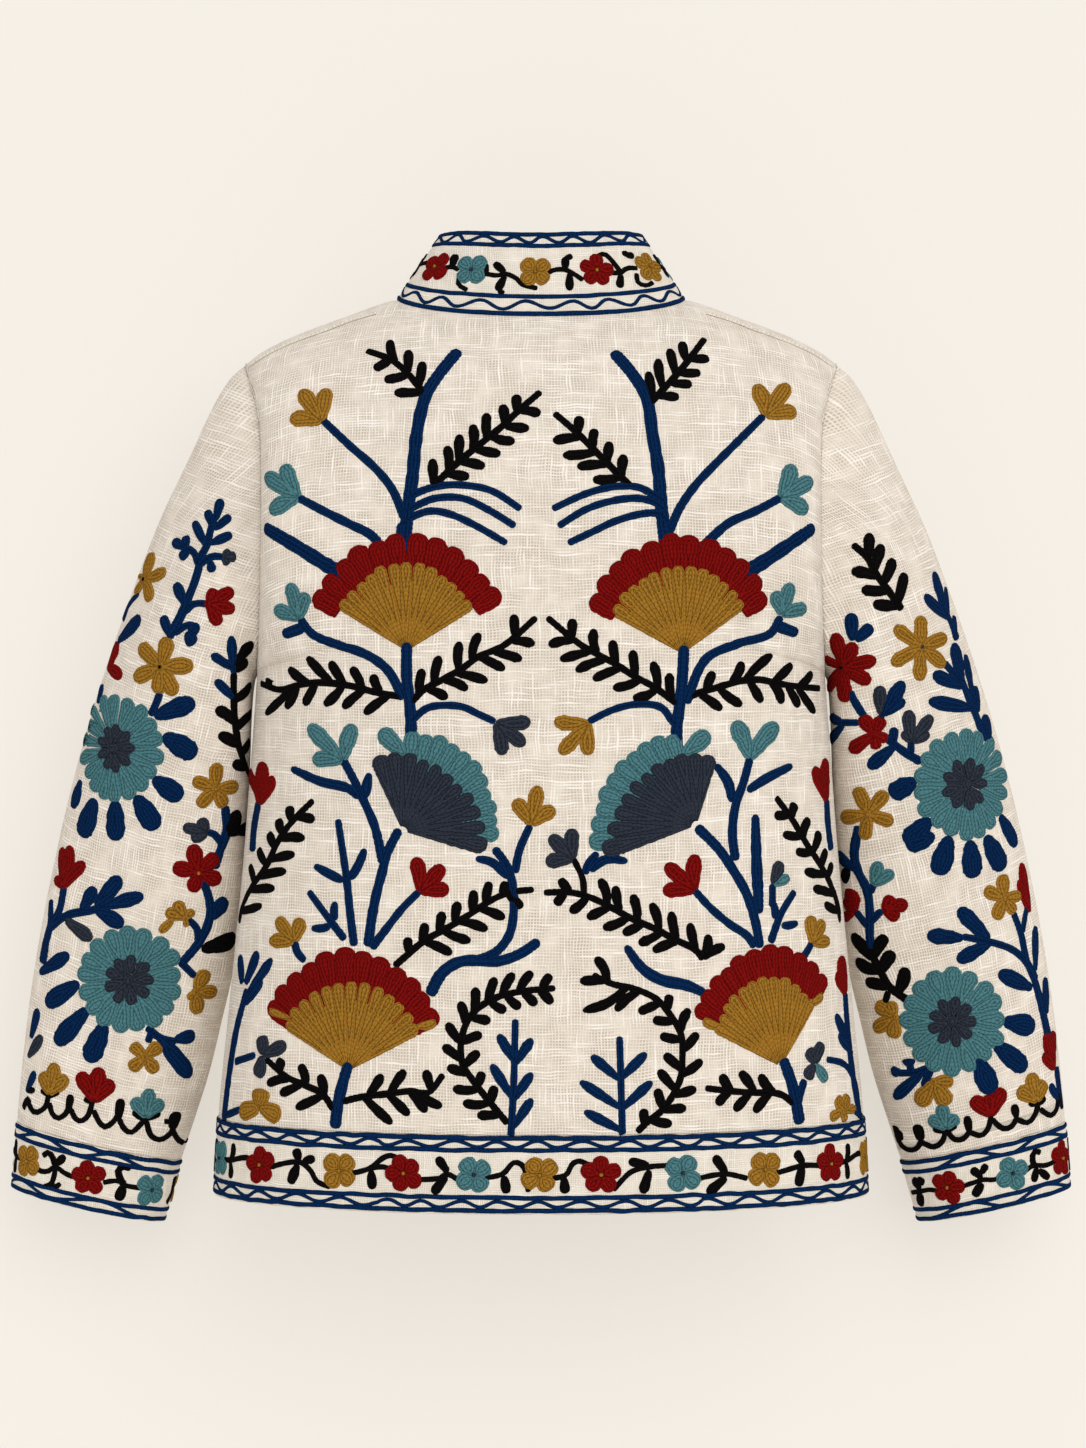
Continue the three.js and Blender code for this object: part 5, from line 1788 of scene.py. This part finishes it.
# %% [markdown]
# The stage: a pale wall close behind the jacket, which curves into a pale floor. It shows from its front
# only, so the jacket can be looked at from every side. A broad, even light falls from above the camera, a
# little to the right, and a pale sky fills the shadows. The wall is lit on its own too, so shadows on it are
# faint.

# %% Stage and lights
def stage_sheet():
    profile = [(140, 700), (140, -900), (138, -1150), (120, -1290), (60, -1390), (-40, -1430), (-2600, -1440)]
    profile = smooth(np.array(profile, float), 60.0)
    bm = bmesh.new()
    bmesh.ops.create_grid(bm, x_segments=2, y_segments=len(profile) - 1, size=1.0)
    bm.verts.ensure_lookup_table()
    for k, v in enumerate(bm.verts):
        v.co = ((k % 3 - 1) * 2.2, profile[k // 3][0] * MM, profile[k // 3][1] * MM)
    bmesh.ops.recalc_face_normals(bm, faces=bm.faces)
    if bm.faces[0].normal.y > 0:
        bmesh.ops.reverse_faces(bm, faces=bm.faces)
    for face in bm.faces:
        face.smooth = True
    mesh = bpy.data.meshes.new("backdrop")
    bm.to_mesh(mesh)
    bm.free()
    sheet = bpy.data.objects.new("backdrop", mesh)
    bpy.context.scene.collection.objects.link(sheet)
    material = bpy.data.materials.new("backdrop")
    material.use_nodes = True
    tree = material.node_tree
    shader = tree.nodes["Principled BSDF"]
    shader.inputs["Base Color"].default_value = (0.31, 0.295, 0.281, 1)
    shader.inputs["Emission Color"].default_value = (0.566, 0.54, 0.492, 1)
    shader.inputs["Emission Strength"].default_value = 1.0
    shader.inputs["Roughness"].default_value = 1.0
    shader.inputs["Specular IOR Level"].default_value = 0.0
    front = tree.nodes.new("ShaderNodeNewGeometry")
    clear = tree.nodes.new("ShaderNodeBsdfTransparent")
    pick = tree.nodes.new("ShaderNodeMixShader")
    tree.links.new(front.outputs["Backfacing"], pick.inputs[0])
    tree.links.new(shader.outputs[0], pick.inputs[1])
    tree.links.new(clear.outputs[0], pick.inputs[2])
    tree.links.new(pick.outputs[0], tree.nodes["Material Output"].inputs["Surface"])
    mesh.materials.append(material)


def light(name, place, aim, spread, power, colour):
    data = bpy.data.lights.new(name, "SUN")
    data.angle = math.radians(spread)
    data.energy = power
    data.color = colour
    lamp = bpy.data.objects.new(name, data)
    lamp.location = place
    way = np.array(aim, float) - np.array(place, float)
    flat = math.hypot(way[0], way[1])
    lamp.rotation_euler = (math.atan2(flat, -way[2]), 0, math.atan2(-way[0], way[1]))
    bpy.context.scene.collection.objects.link(lamp)


stage_sheet()
light("key", (0.5, -1.9, 0.72), (0, 0, 0), 50, 1.46, (1.0, 0.985, 0.965))
world = bpy.data.worlds.new("sky")
bpy.context.scene.world = world
world.use_nodes = True
sky = world.node_tree.nodes["Background"]
sky.inputs[0].default_value = (1.0, 0.99, 0.975, 1)
sky.inputs[1].default_value = 0.72
bpy.context.scene.view_settings.view_transform = "Standard"
print("stage set")
